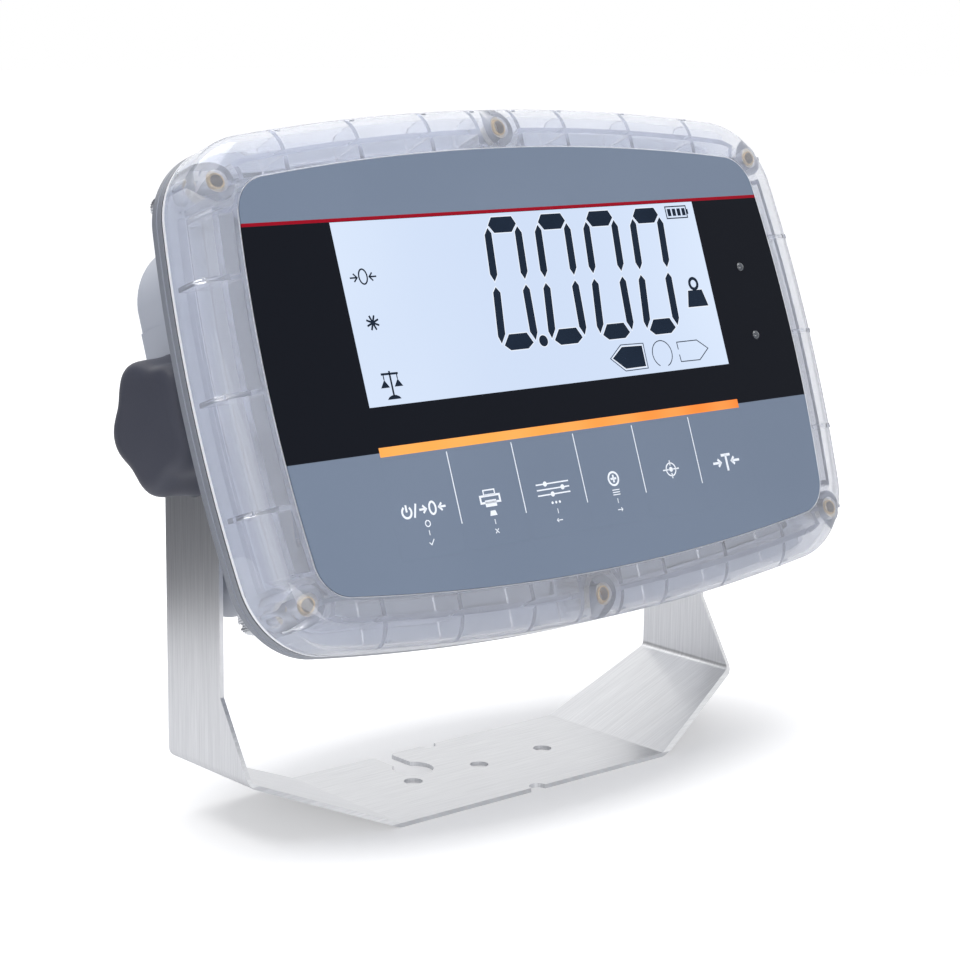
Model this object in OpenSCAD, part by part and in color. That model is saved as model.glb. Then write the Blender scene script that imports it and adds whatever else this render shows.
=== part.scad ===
// Weighing indicator: a clear-fronted display head that tilts between the arms of a bent steel bracket.
// +Z is up and the face looks along -Y. The origin is the middle fixing hole, on the underside of the base.

/* [Bracket] */
// Inset of each arm from the side of the head
arm_inset = 20.5; // [19:0.5:25]
// Thickness of the steel strip
bracket_t = 1.5; // [1:0.1:2.5]
// Depth of the base from front to back
base_depth = 60; // [52:1:72]
// Width of the flat part of the base, between its bends
base_flat_w = 121; // [110:1:140]
// Width of each arm where it stands upright
arm_w = 30; // [24:1:34]
// Height of the outer bend, where the slant meets the arm
arm_bend_h = 20; // [15:1:26]
// Height at which the front edge of the arm starts to widen
flare_h = 46; // [38:1:56]
// Height of the pivot above the bench
pivot_h = 133; // [128:1:150]
// Distance between fixing holes in the base
fixing_pitch = 30; // [20:1:34]
// Diameter of each fixing hole
fixing_d = 6.5; // [4.5:0.1:8]
// Diameter of the round end of the cable slot
cable_hole_d = 14.5; // [10:0.5:15]
// Width of the slot that lets a cable in from the rear edge
cable_slot_w = 7.5; // [5:0.5:9]

/* [Head] */
// Angle by which the face leans back
lean = 20.3; // [0:0.1:60]
// Width of the head over its rim
head_w = 262; // [256:1:280]
// Height of the head over its rim
head_h = 174; // [168:1:190]
// Depth of the head from face to back
head_depth = 78; // [70:1:90]
// Radius of the bow along the top and bottom edges
top_bow_r = 840; // [700:10:1200]
// Radius of the bow along the side edges
side_bow_r = 500; // [420:10:800]
// Radius of the corners of the rim
corner_r = 28; // [25:1:34]
// Depth of the clear front housing
front_depth = 19.3; // [18.5:0.1:24]
// Thickness of the rim of the rear housing
rim_t = 6.5; // [4:0.1:8]
// Wall thickness of both housings
wall = 3; // [2:0.1:3.4]
// Distance from the face to the pivot axis
pivot_depth = 52.4; // [50:0.1:56]

/* [Face] */
// Inset of the overlay from the rim
overlay_inset = 15.5; // [14:0.1:17]
// Width of the display window as a share of the width of the head
window_share = 0.611; // [0.56:0.001:0.63]
// Height of the display window
window_h = 59; // [48:1:60]
// Height of the middle of the window above the middle of the head
window_z = 20.2; // [18:0.1:22]
// Height of the status light bar
bar_h = 3; // [2:0.1:4]
// Distance between neighbouring keys
key_pitch = 27; // [22:0.5:30]
// Height of each key
key_h = 32; // [24:1:34]
// Travel of each key
key_travel = 0.35; // [0.2:0.05:0.35]

/* [Knobs] */
// Mean radius of the lobed knob
knob_r = 21.1; // [18:0.1:25]
// Height of the lobes above the mean radius
lobe_h = 1.7; // [0.5:0.1:2.5]
// Length of the knob outside the arm
knob_l = 17; // [14:0.5:22]
// Diameter of the clamping stud
stud_d = 8; // [6:0.5:10]

/* [Hidden] */
$fn = 48;

// One overrun serves every cut, and one small gap serves every moving fit
over = 1;
run_gap = 0.2;
stud_gap = 0.1;

// Bracket: where the base lies about the holes, and the sizes of its bends, notches and corners
base_rear = 29;
base_front = base_depth - base_rear;
bend_r = 2.5;
notch_r = 3.25;
slot_corner_r = 2;
cable_hole_x = -21;
cable_hole_y = 11.2;
arm_x = head_w / 2 - arm_inset;
bracket_w = 2 * arm_x;
pivot_y = base_rear - arm_w / 2;
flare_front = 16.7;

// Head: the pivot sits this far above the middle of the rim
pivot_raise = 1;
window_w = head_w * window_share;

// Rim outline: four bowed sides that run into round corners, so every inset keeps the same centres
half_w = head_w / 2;
half_h = head_h / 2;
top_c = [0, half_h - top_bow_r];
side_c = [half_w - side_bow_r, 0];
corner_c = meet(top_c, top_bow_r - corner_r, side_c, side_bow_r - corner_r);
side_a = atan2(corner_c[1], corner_c[0] - side_c[0]);
top_a = atan2(corner_c[1] - top_c[1], corner_c[0]);
bow_steps = 6;
corner_steps = 8;

// Front housing: shoulder of the rim as shares of its inset and depth, plate, cell walls and cross ribs
shoulder_inset = 10;
shoulder_depth = 8.5;
shoulder_shares = [[1, 0.03], [0.72, 0.07], [0.45, 0.19], [0.22, 0.4], [0.07, 0.66], [0, 1]];
recess_d = 2;
plate_t = 2.5;
plate_back = recess_d + plate_t;
cavity_step = 1;
cavity_step_share = 0.45;
rib_t = 1.6;
rib_inset = 8.2;
inner_rib_inset = 14.6;
rib_end = 17;
rib_pitch_x = 29.8;
rib_pitch_z = 35.5;
boss_r = 6;
boss_skirt = 2.2;
boss_rib_x = 9;
recess_gap = 0.15;

// Closing screws: six places round the rim, each with a brass insert in a clear boss
screw_inset = [14.7, 22.1];
screw_mid_inset = 8;
screw_x = half_w - screw_inset[0];
screw_z = half_h - screw_inset[1];
screw_mid_z = half_h - screw_mid_inset;
screw_places = [
    [-screw_x, screw_z], [0, screw_mid_z], [screw_x, screw_z],
    [-screw_x, -screw_z], [0, -screw_mid_z], [screw_x, -screw_z]
];
insert_r = 3.5;
insert_l = 9;
insert_front = 3.6;
screw_r = 2;
screw_tip_d = 7;
screw_hole_r = 2.3;
head_collar_r = 4;
head_collar_l = 1.2;
head_grip_r = 4.8;
head_grip_l = 7.2;
grip_teeth = 34;
grip_tooth_h = 0.4;
grip_slot_w = 1.4;
grip_slot_depth = 1.6;
grip_slot_turn = 17;

// Gasket between the cell wall and the rear rim
gasket_w = 2.6;

// Rear housing: the deep box behind the rim, with its pads, bosses and drafts
washer_t = 1.4;
pad_x = arm_x - bracket_t - run_gap - washer_t;
box_draft = 1.1;
box_top_inset = 22;
box_bottom_inset = 25;
box_top = half_h - box_top_inset;
box_bottom = half_h - box_bottom_inset;
box_top_r = 24;
box_bottom_r = 13;
box_edge_r = 3.5;
rim_groove = 0.5;
rim_groove_d = 2.9;
rim_groove_w = 0.6;
rim_back = front_depth + rim_t;
pad_h = 70;
pad_front = 28;
pivot_boss_r = 11;
pivot_boss_l = 20;
pivot_boss_gap = 2.4;
inner_x = pad_x - pivot_boss_l - pivot_boss_gap;
pivot_insert_r = 7;
pivot_insert_l = 17;
insert_flange_r = 9;
insert_flange_t = 1.5;
washer_r = 14;

// Membrane face: thin layers in the recess of the front housing
overlay_front = 0.1;
overlay_t = 0.6;
overlay_back = overlay_front + overlay_t;
circuit_inset = overlay_inset + 1.2;
circuit_floor = 1.6;
key_gap = 0.12;
key_web = 1;
key_w = key_pitch - key_web;
key_r = 1.5;
key_top = -26;
key_z = key_top - key_h / 2;
dome_r = 5;
dome_top_share = 0.55;
dome_front = overlay_back + key_travel + 0.1;
pocket_gap = 0.4;
bar_w = window_w;
bar_z = -23.5;
bar_back = 9;
bar_gap = 0.15;
sensor_share = 0.48;
sensor_x = window_w / 2 + sensor_share * (half_w - overlay_inset - window_w / 2);
sensor_z = [24.9, -0.1];
sensor_r = 1.6;
sensor_proud = 0.9;
tail_w = 14;
tail_t = 0.3;
tail_x = 46;
tail_drop = 2;
tail_z = key_top - key_h - tail_drop;
tail_slot_gap = 0.5;

// Display module and main board
lcd_margin = 4;
lcd_front = plate_back + 0.2;
lcd_t = 2.8;
lcd_back = lcd_front + lcd_t;
light_t = 4;
light_back = lcd_back + light_t;
bezel_t = 1.2;
board_front = light_back + 1;
board_t = 1.6;
board_back = board_front + board_t;
board_inset = [28, 25];
board_w = head_w - 2 * board_inset[0];
board_h = head_h - 2 * board_inset[1];
board_r = 6;
board_screw_x = board_w / 2 - board_r;
board_screw_z = board_h / 2 - board_r;
board_boss_r = 4;
board_screw_r = 1.5;
board_head_r = 2.8;
board_head_t = 1.8;
board_screw_l = 7;
led_w = 3.5;
led_h = 2.8;
led_count = 7;
led_pitch = 24;
chip_t = 1.6;
chip_boxes = [[-30, 20, 14, 14], [0, 20, 8, 14], [28, 22, 14, 8], [52, -8, 8, 8], [-70, 12, 6, 11]];
sensor_body = 5;
terminal_share = 0.95;
terminal_h = 10;
terminal_d = 9;
terminal_wire_r = 1.2;
terminal_ways = 8;

// Power board and battery, on bosses of the back wall
power_share = 0.92;
power_w = inner_x * power_share;
power_h = 66;
power_t = 1.6;
power_x = inner_x - power_w / 2;
power_z = 10;
power_boss_h = 6;
power_boss_r = 3.5;
power_screw_inset = 5;
transformer_share = 0.38;
transformer_w = power_w * transformer_share;
transformer_h = 34;
transformer_d = 24;
capacitor_r = 5;
capacitor_l = 16;
battery_share = 0.776;
battery_clear = 17.5;
battery_w = inner_x * battery_share;
battery_h = box_top + box_bottom - 2 * battery_clear;
battery_d = 26;
battery_x = battery_w / 2 - inner_x;
battery_z = 4;
battery_r = 4;
strap_t = 1.2;
strap_h = 18;
strap_foot = 10;
strap_screw_r = 1.3;
strap_screw_l = 3.2;

// Cable glands in the bottom wall
gland_share = 0.194;
gland_x = board_w * gland_share;
gland_d = 50;
gland_land_r = 13;
gland_land_t = 4;
gland_thread_r = 8;
gland_bore_r = 5;
gland_hex_r = 11;
gland_hex_t = 5;
gland_washer_t = 1.2;
gland_neck_r = 7.6;
gland_neck_l = 8;
gland_nut_r = 10;
gland_nut_l = 13;
gland_nut_dome = 4;
gland_nut_flats_r = 10.6;
gland_seal_bore_r = 3.5;
gland_lock_r = 12;
gland_lock_t = 4;
gland_inside_l = 9;

terminal_w = gland_x * terminal_share;
terminal_pitch = terminal_w / (terminal_ways + 0.5);

// Knobs
lobes = 5;
knob_steps = 50;
knob_flare_share = 1.05;
knob_edge_shares = [[0.45, 1], [0.72, 0.985], [0.87, 0.945], [0.955, 0.86], [0.99, 0.78], [1, 0.7]];
knob_hollow_r = 16;
knob_hub_r = 8.5;
knob_hollow_l = 6;
stud_bite = 12;
stud_reach = 15;

function meet(a, ra, b, rb) =
    let (
        gap = norm(b - a),
        along = (b - a) / gap,
        reach = (ra * ra - rb * rb + gap * gap) / (2 * gap),
        rise = sqrt(ra * ra - reach * reach)
    )
    a + along * reach + [along[1], -along[0]] * rise;

function arc(c, r, a0, a1, steps) =
    [for (i = [0 : steps - 1]) let (a = a0 + (a1 - a0) * i / steps) c + r * [cos(a), sin(a)]];

function rim(inset) = concat(
    arc(side_c, side_bow_r - inset, -side_a, side_a, bow_steps),
    arc(corner_c, corner_r - inset, side_a, top_a, corner_steps),
    arc(top_c, top_bow_r - inset, top_a, 180 - top_a, bow_steps),
    arc([-corner_c[0], corner_c[1]], corner_r - inset, 180 - top_a, 180 - side_a, corner_steps),
    arc([-side_c[0], 0], side_bow_r - inset, 180 - side_a, 180 + side_a, bow_steps),
    arc(-corner_c, corner_r - inset, 180 + side_a, 180 + top_a, corner_steps),
    arc(-top_c, top_bow_r - inset, 180 + top_a, 360 - top_a, bow_steps),
    arc([corner_c[0], -corner_c[1]], corner_r - inset, 360 - top_a, 360 - side_a, corner_steps)
);

function box_outline(inset, x = pad_x) =
    let (
        top_x = x - box_top_r,
        top_z = box_top - box_top_r,
        low_x = x - box_bottom_r,
        low_z = box_bottom - box_bottom_r
    )
    concat(
        arc([top_x, top_z], box_top_r - inset, 0, 90, corner_steps + 1),
        arc([-top_x, top_z], box_top_r - inset, 90, 180, corner_steps + 1),
        arc([-low_x, -low_z], box_bottom_r - inset, 180, 270, corner_steps + 1),
        arc([low_x, -low_z], box_bottom_r - inset, 270, 360, corner_steps + 1)
    );

function at_depth(points, depth) = [for (p = points) [p[0], depth, p[1]]];

// Skin over a stack of rings that all have the same number of points
module skin(rings) {
    n = len(rings[0]);
    last = len(rings) - 1;
    sides = [
        for (k = [0 : last - 1], j = [0 : n - 1])
            let (a = k * n + j, b = k * n + (j + 1) % n)
            each [[a, b, b + n], [a, b + n, a + n]]
    ];
    front = [for (j = [n - 1 : -1 : 0]) j];
    back = [for (j = [0 : n - 1]) last * n + j];
    polyhedron(points = [for (ring = rings) each ring], faces = concat([front], sides, [back]));
}

// Everything on the head is drawn with Y as the depth behind the face, then leaned back on the pivot
module on_head() {
    translate([0, pivot_y, pivot_h])
        rotate([-lean, 0, 0])
            translate([0, -pivot_depth, -pivot_raise])
                children();
}

module slab(d0, d1) {
    translate([0, d1, 0]) rotate([90, 0, 0]) linear_extrude(height = d1 - d0) children();
}

module rod(place, d0, d1, r) {
    translate([place[0], d1, place[1]]) rotate([90, 0, 0]) cylinder(h = d1 - d0, r = r);
}

module cross_rod(x0, x1, r) {
    translate([x0, pivot_depth, pivot_raise]) rotate([0, 90, 0]) cylinder(h = x1 - x0, r = r);
}

module block(x, z, w, h, d0, d1) {
    translate([x - w / 2, d0, z - h / 2]) cube([w, d1 - d0, h]);
}

module round_rect(w, h, r) {
    square([w - 2 * r, h], center = true);
    square([w, h - 2 * r], center = true);
    for (sx = [-1, 1], sz = [-1, 1])
        translate([sx * (w / 2 - r), sz * (h / 2 - r)]) circle(r);
}

module window_shape(grow) {
    translate([0, window_z]) square([window_w + 2 * grow, window_h + 2 * grow], center = true);
}

module bar_shape(grow) {
    translate([0, bar_z]) square([bar_w + 2 * grow, bar_h + 2 * grow], center = true);
}

module sensor_shape(grow) {
    for (z = sensor_z) translate([sensor_x, z]) circle(sensor_r + grow);
}

function key_x(i) = (i - 3.5) * key_pitch;

module key_shape(grow) {
    round_rect(key_w + 2 * grow, key_h + 2 * grow, key_r);
}

// Region inside the cell wall, which bends inwards round each screw boss
module sealed_shape(inset, clear) {
    difference() {
        polygon(rim(inset));
        for (p = screw_places) translate(p) circle(boss_r + clear);
    }
}

// Space inside the strip, as seen from the front, with r as the radius of its four bends
module strip_inside(r, top) {
    outer_r = bend_r + bracket_t;
    base_x = base_flat_w / 2;
    slant = [arm_x - base_x, arm_bend_h];
    slant_a = atan2(slant[1], slant[0]);
    low = [base_x - outer_r * tan(slant_a / 2), outer_r];
    high = [arm_x - outer_r, arm_bend_h + outer_r * tan((90 - slant_a) / 2)];
    across = r * [sin(slant_a), -cos(slant_a)];
    right = [low - [0, r], low + across, high + across, high + [r, 0], [high[0] + r, top]];
    left = [for (i = [len(right) - 1 : -1 : 0]) [-right[i][0], right[i][1]]];
    polygon(concat(right, left));
    for (s = [-1, 1], c = [low, high]) translate([s * c[0], c[1]]) circle(r);
}

// Steel strip seen from the front: base, slants and arms of one thickness, joined by round bends
module strip_profile() {
    top = pivot_h + arm_w / 2;
    difference() {
        strip_inside(bend_r + bracket_t, top);
        strip_inside(bend_r, top + over);
    }
}

// Side view of the strip: full depth at the base, narrowing to the arm, with a round top about the pivot
module strip_side() {
    arm_front = pivot_y - arm_w / 2;
    translate([pivot_y, pivot_h]) circle(arm_w / 2);
    polygon([
        [base_rear, -over], [base_rear, pivot_h], [arm_front, pivot_h], [arm_front, flare_h],
        [-flare_front, arm_bend_h], [-base_front, bracket_t], [-base_front, -over]
    ]);
}

module cable_slot() {
    translate([cable_hole_x, cable_hole_y]) circle(cable_hole_d / 2);
    translate([cable_hole_x - cable_slot_w / 2, cable_hole_y]) square([cable_slot_w, base_rear]);
    for (s = [-1, 1])
        translate([cable_hole_x + s * (cable_slot_w / 2 + slot_corner_r), base_rear - slot_corner_r])
            difference() {
                translate([-slot_corner_r, 0]) square([2 * slot_corner_r, slot_corner_r + over]);
                circle(slot_corner_r);
                translate([s * slot_corner_r - slot_corner_r, -over])
                    square([2 * slot_corner_r, slot_corner_r + 3 * over]);
            }
}

module bracket() {
    color("silver")
    difference() {
        intersection() {
            translate([0, base_rear + over, 0]) rotate([90, 0, 0])
                linear_extrude(height = base_depth + 2 * over) strip_profile();
            translate([-arm_x - over, 0, 0]) rotate([90, 0, 90])
                linear_extrude(height = bracket_w + 2 * over) strip_side();
        }
        translate([0, 0, -over]) linear_extrude(height = bracket_t + 2 * over) {
            for (i = [-1 : 1]) translate([i * fixing_pitch, 0]) circle(fixing_d / 2);
            translate([0, base_rear]) circle(notch_r);
            translate([0, -base_front]) circle(notch_r);
            cable_slot();
        }
        translate([-arm_x - over, pivot_y, pivot_h]) rotate([0, 90, 0])
            cylinder(h = bracket_w + 2 * over, r = stud_d / 2 + stud_gap);
    }
}

module shoulder(grow, back) {
    skin(concat(
        [for (s = shoulder_shares)
            at_depth(rim(s[0] * shoulder_inset + grow), s[1] * shoulder_depth + grow)],
        [at_depth(rim(grow), back)]
    ));
}

// Cell walls behind the rim: a sealed wall that bends round the bosses, a wall under the edge of the
// overlay, and cross ribs that run from the outer wall to it
module front_ribs() {
    slab(plate_back - over, rib_end) {
        difference() {
            sealed_shape(rib_inset, boss_skirt);
            sealed_shape(rib_inset + rib_t, boss_skirt + rib_t);
        }
        difference() {
            polygon(rim(inner_rib_inset));
            polygon(rim(inner_rib_inset + rib_t));
        }
        difference() {
            intersection() {
                polygon(rim(wall / 2));
                union() {
                    for (i = [1 : 3], s = [-1, 1])
                        translate([s * i * rib_pitch_x, 0]) square([rib_t, head_h], center = true);
                    for (s = [-1, 1])
                        translate([s * boss_rib_x, 0]) square([rib_t, head_h], center = true);
                    for (i = [-1 : 1])
                        translate([0, i * rib_pitch_z]) square([head_w, rib_t], center = true);
                    for (s = [-1, 1])
                        translate([0, s * screw_z]) square([head_w, rib_t], center = true);
                }
            }
            polygon(rim(inner_rib_inset + rib_t / 2));
        }
    }
}

// Clear moulding: bowed shoulder, recess for the face, cell walls behind the rim and six insert bosses
module front_housing() {
    color([0.86, 0.89, 0.95, 0.45])
    on_head() difference() {
        union() {
            difference() {
                shoulder(0, front_depth);
                shoulder_cavity();
            }
            front_ribs();
            for (p = screw_places) rod(p, plate_back - over, front_depth, boss_r);
            for (sx = [-1, 1], sz = [-1, 1])
                rod([sx * board_screw_x, sz * board_screw_z], plate_back - over, board_front, board_boss_r);
        }
        slab(-over, recess_d) polygon(rim(overlay_inset - recess_gap));
        slab(recess_d - over, plate_back + over) {
            bar_shape(bar_gap);
            sensor_shape(bar_gap);
            translate([tail_x, tail_z]) square([tail_w + 2 * tail_slot_gap, 3 * tail_slot_gap], center = true);
        }
        for (p = screw_places) rod(p, insert_front, front_depth + over, insert_r);
        for (sx = [-1, 1], sz = [-1, 1])
            rod([sx * board_screw_x, sz * board_screw_z], plate_back, board_front + over, board_screw_r);
    }
}

module shoulder_cavity() {
    skin([
        at_depth(rim(shoulder_inset), plate_back),
        at_depth(rim(wall + (shoulder_inset - wall) * cavity_step_share), plate_back + cavity_step),
        at_depth(rim(wall), shoulder_depth + cavity_step),
        at_depth(rim(wall), front_depth + over)
    ]);
}

module housing_gasket() {
    color("dimgray")
    on_head() slab(rib_end, front_depth) difference() {
        sealed_shape(rib_inset - (gasket_w - rib_t) / 2, boss_skirt - (gasket_w - rib_t) / 2);
        sealed_shape(rib_inset + (gasket_w + rib_t) / 2, boss_skirt + (gasket_w + rib_t) / 2);
    }
}

module housing_inserts() {
    color("goldenrod")
    on_head() for (p = screw_places) difference() {
        rod(p, insert_front, insert_front + insert_l, insert_r);
        rod(p, insert_front - over, insert_front + insert_l + over, screw_r);
    }
}

function toothed(r, teeth, h) =
    [for (i = [0 : 2 * teeth - 1]) let (a = 180 * i / teeth, q = r - (i % 2) * h) q * [cos(a), sin(a)]];

module housing_screws() {
    collar_end = rim_back + head_collar_l;
    grip_end = collar_end + head_grip_l;
    color("gainsboro")
    on_head() for (p = screw_places) difference() {
        union() {
            rod(p, screw_tip_d, rim_back + over, screw_r);
            rod(p, rim_back, collar_end + over, head_collar_r);
            translate([p[0], 0, p[1]])
                slab(collar_end, grip_end) polygon(toothed(head_grip_r, grip_teeth, grip_tooth_h));
        }
        translate([p[0], 0, p[1]]) rotate([0, -grip_slot_turn, 0])
            block(0, 0, 2 * head_grip_r + over, grip_slot_w, grip_end - grip_slot_depth, grip_end + over);
    }
}

// Drafted box with soft rear edges, its inset growing towards the back
module deep_box(grow, front, back) {
    edge = [for (a = [0 : 22.5 : 90]) [box_edge_r * (1 - cos(a)), box_edge_r * (1 - sin(a))]];
    skin(concat(
        [at_depth(box_outline(grow), front)],
        [for (e = edge) at_depth(box_outline(grow + box_draft + e[0]), back - e[1])]
    ));
}

// Places of the four bosses that hold the power board
function power_place(x, z) =
    [power_x + x * (power_w / 2 - power_screw_inset), power_z + z * (power_h / 2 - power_screw_inset)];

// Grey moulding: grooved rim, deep drafted box, flat side pads at the pivot, lands for the cable glands
module rear_housing() {
    cavity_back = head_depth - wall;
    color([0.74, 0.76, 0.79])
    on_head() difference() {
        union() {
            slab(front_depth, rim_back) polygon(rim(rim_groove));
            slab(front_depth + rim_groove, front_depth + rim_groove_d) polygon(rim(0));
            slab(front_depth + rim_groove_d + rim_groove_w, rim_back - rim_groove) polygon(rim(0));
            deep_box(0, rim_back - over, head_depth);
            for (s = [-1, 1])
                translate([s * (pad_x - wall / 2) - wall / 2, pad_front, -pad_h / 2])
                    cube([wall, head_depth - box_edge_r - pad_front, pad_h]);
            gland_frame_local() cylinder(h = gland_land_t, r = gland_land_r);
        }
        difference() {
            deep_box(wall, front_depth - over, cavity_back);
            for (s = [-1, 1]) scale([s, 1, 1])
                cross_rod(pad_x - pivot_boss_l, pad_x, pivot_boss_r);
            for (x = [-1, 1], z = [-1, 1])
                rod(power_place(x, z), cavity_back - power_boss_h, cavity_back + over, power_boss_r);
            gland_frame_local() cylinder(h = gland_land_t, r = gland_land_r);
        }
        for (x = [-1, 1], z = [-1, 1])
            rod(power_place(x, z), cavity_back - power_boss_h - over, cavity_back, board_screw_r);
        for (s = [-1, 1]) {
            scale([s, 1, 1]) {
                cross_rod(pad_x - pivot_insert_l, pad_x + over, pivot_insert_r);
                cross_rod(pad_x - insert_flange_t, pad_x + over, insert_flange_r);
            }
            rod([battery_x + s * (battery_w + strap_foot) / 2, battery_z],
                cavity_back - over, cavity_back + strap_screw_l - strap_t, strap_screw_r);
        }
        for (p = screw_places) rod(p, front_depth - over, rim_back + over, screw_hole_r);
        gland_frame_local() translate([0, 0, -over]) cylinder(h = gland_land_t + 2 * over, r = gland_thread_r);
    }
}

module pivot_inserts() {
    color("goldenrod")
    on_head() for (s = [-1, 1]) scale([s, 1, 1]) difference() {
        union() {
            cross_rod(pad_x - pivot_insert_l, pad_x, pivot_insert_r);
            cross_rod(pad_x - insert_flange_t, pad_x, insert_flange_r);
        }
        cross_rod(pad_x - pivot_insert_l - over, pad_x + over, stud_d / 2 + stud_gap / 2);
    }
}

module friction_washers() {
    color("black")
    on_head() for (s = [-1, 1]) scale([s, 1, 1]) difference() {
        cross_rod(pad_x, pad_x + washer_t, washer_r);
        cross_rod(pad_x - over, pad_x + washer_t + over, stud_d / 2 + stud_gap);
    }
}

module overlay() {
    color("slategray")
    on_head() slab(overlay_front, overlay_back) difference() {
        polygon(rim(overlay_inset));
        window_shape(0);
        bar_shape(0);
        sensor_shape(0);
        for (i = [1 : 6]) translate([key_x(i), key_z]) key_shape(0);
    }
}

module key(i) {
    color("lightslategray")
    on_head() slab(overlay_front, overlay_back)
        translate([key_x(i), key_z]) key_shape(-key_gap);
}

module keypad_circuit() {
    color("darkslategray")
    on_head() difference() {
        slab(overlay_back, recess_d) difference() {
            polygon(rim(circuit_inset));
            window_shape(0);
            bar_shape(bar_gap);
            sensor_shape(bar_gap);
        }
        slab(overlay_back - over, circuit_floor)
            for (i = [1 : 6]) translate([key_x(i), key_z]) key_shape(pocket_gap);
    }
}

module key_domes() {
    color("silver")
    on_head() for (i = [1 : 6])
        translate([key_x(i), circuit_floor, key_z]) rotate([90, 0, 0])
            rotate_extrude() polygon([
                [0, 0], [dome_r, 0], [dome_r * dome_top_share, circuit_floor - dome_front],
                [0, circuit_floor - dome_front]
            ]);
}

// Flat flexible tail from the back of the switch circuit, through a slot in the plate, to the board
module keypad_tail() {
    color("peru")
    on_head() block(tail_x, tail_z, tail_w, tail_t, recess_d, board_front);
}

module window_pane() {
    color([0.85, 0.92, 1, 0.4])
    on_head() slab(overlay_front, recess_d) window_shape(0);
}

module sensor_lenses() {
    cap_r = (sensor_r * sensor_r + sensor_proud * sensor_proud) / (2 * sensor_proud);
    stem = plate_back - overlay_front;
    color([0.8, 0.85, 0.9, 0.6])
    on_head() for (z = sensor_z)
        translate([sensor_x, overlay_front, z]) rotate([90, 0, 0]) rotate_extrude() intersection() {
            union() {
                translate([0, sensor_proud - cap_r]) circle(cap_r);
                translate([0, -stem]) square([sensor_r, stem]);
            }
            translate([0, -stem]) square([sensor_r, stem + sensor_proud]);
        }
}

module proximity_sensors() {
    color("black")
    on_head() for (z = sensor_z)
        block(sensor_x, z, sensor_body, sensor_body, plate_back + run_gap, board_front);
}

module light_bar() {
    color("orange")
    on_head() slab(overlay_front, bar_back) bar_shape(0);
}

module bar_leds() {
    color("white")
    on_head() for (i = [0 : led_count - 1])
        block((i - (led_count - 1) / 2) * led_pitch, bar_z, led_w, led_h, bar_back + run_gap, board_front);
}

module lcd_glass() {
    color("aliceblue")
    on_head() slab(lcd_front, lcd_back) window_shape(lcd_margin);
}

module lcd_backlight() {
    color("white")
    on_head() slab(lcd_back, light_back) window_shape(lcd_margin);
}

module lcd_bezel() {
    color("dimgray")
    on_head() difference() {
        slab(lcd_front, board_front) window_shape(lcd_margin + bezel_t);
        slab(lcd_front - over, light_back) window_shape(lcd_margin);
        slab(light_back - over, board_front + over) window_shape(-lcd_margin);
    }
}

module main_board() {
    color("seagreen")
    on_head() slab(board_front, board_back) difference() {
        round_rect(board_w, board_h, board_r);
        for (sx = [-1, 1], sz = [-1, 1])
            translate([sx * board_screw_x, sz * board_screw_z]) circle(board_screw_r);
    }
}

module board_screws() {
    color("silver")
    on_head() for (sx = [-1, 1], sz = [-1, 1]) {
        rod([sx * board_screw_x, sz * board_screw_z], board_back - board_screw_l, board_back, board_screw_r);
        rod([sx * board_screw_x, sz * board_screw_z], board_back, board_back + board_head_t, board_head_r);
    }
}

module board_chips() {
    color("black")
    on_head() for (c = chip_boxes) block(c[0], c[1], c[2], c[3], board_back, board_back + chip_t);
}

module terminal_blocks() {
    color("green")
    on_head() for (s = [-1, 1]) difference() {
        block(s * gland_x, -board_h / 2 + terminal_h, terminal_w, terminal_h, board_back, board_back + terminal_d);
        for (k = [0 : terminal_ways - 1])
            translate([s * gland_x + (k - (terminal_ways - 1) / 2) * terminal_pitch,
                board_back + terminal_d / 2, -board_h / 2 + terminal_h / 2 - over])
                cylinder(h = terminal_h / 2, r = terminal_wire_r);
    }
}

module power_board() {
    front = head_depth - wall - power_boss_h - power_t;
    color("darkgreen")
    on_head() difference() {
        block(power_x, power_z, power_w, power_h, front, front + power_t);
        for (x = [-1, 1], z = [-1, 1])
            rod(power_place(x, z), front - over, front + power_t + over, board_screw_r);
    }
}

module power_screws() {
    front = head_depth - wall - power_boss_h - power_t;
    color("silver")
    on_head() for (x = [-1, 1], z = [-1, 1]) {
        rod(power_place(x, z), front - board_head_t, front, board_head_r);
        rod(power_place(x, z), front, front + board_screw_l, board_screw_r);
    }
}

module power_parts() {
    front = head_depth - wall - power_boss_h - power_t;
    color("khaki")
    on_head() {
        block(power_x - transformer_w / 2, power_z, transformer_w, transformer_h, front - transformer_d, front);
        for (s = [-1, 1])
            rod([power_x + transformer_w / 2, power_z + s * transformer_h / 3],
                front - capacitor_l, front, capacitor_r);
    }
}

module battery_pack() {
    back = head_depth - wall;
    color("royalblue")
    on_head() translate([battery_x, 0, battery_z])
        slab(back - battery_d, back) round_rect(battery_w, battery_h, battery_r);
}

// Strap bent over the battery, with a foot screwed to the back wall at each side
module battery_strap() {
    back = head_depth - wall;
    front = back - battery_d - strap_t;
    color("silver")
    on_head() difference() {
        union() {
            block(battery_x, battery_z, battery_w + 2 * strap_t, strap_h, front, front + strap_t);
            for (s = [-1, 1]) {
                block(battery_x + s * (battery_w + strap_t) / 2, battery_z, strap_t, strap_h, front, back);
                block(battery_x + s * (battery_w + strap_foot) / 2, battery_z, strap_foot, strap_h,
                    back - strap_t, back);
            }
        }
        for (s = [-1, 1])
            rod([battery_x + s * (battery_w + strap_foot) / 2, battery_z],
                back - strap_t - over, back + over, strap_screw_r);
    }
}

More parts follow.
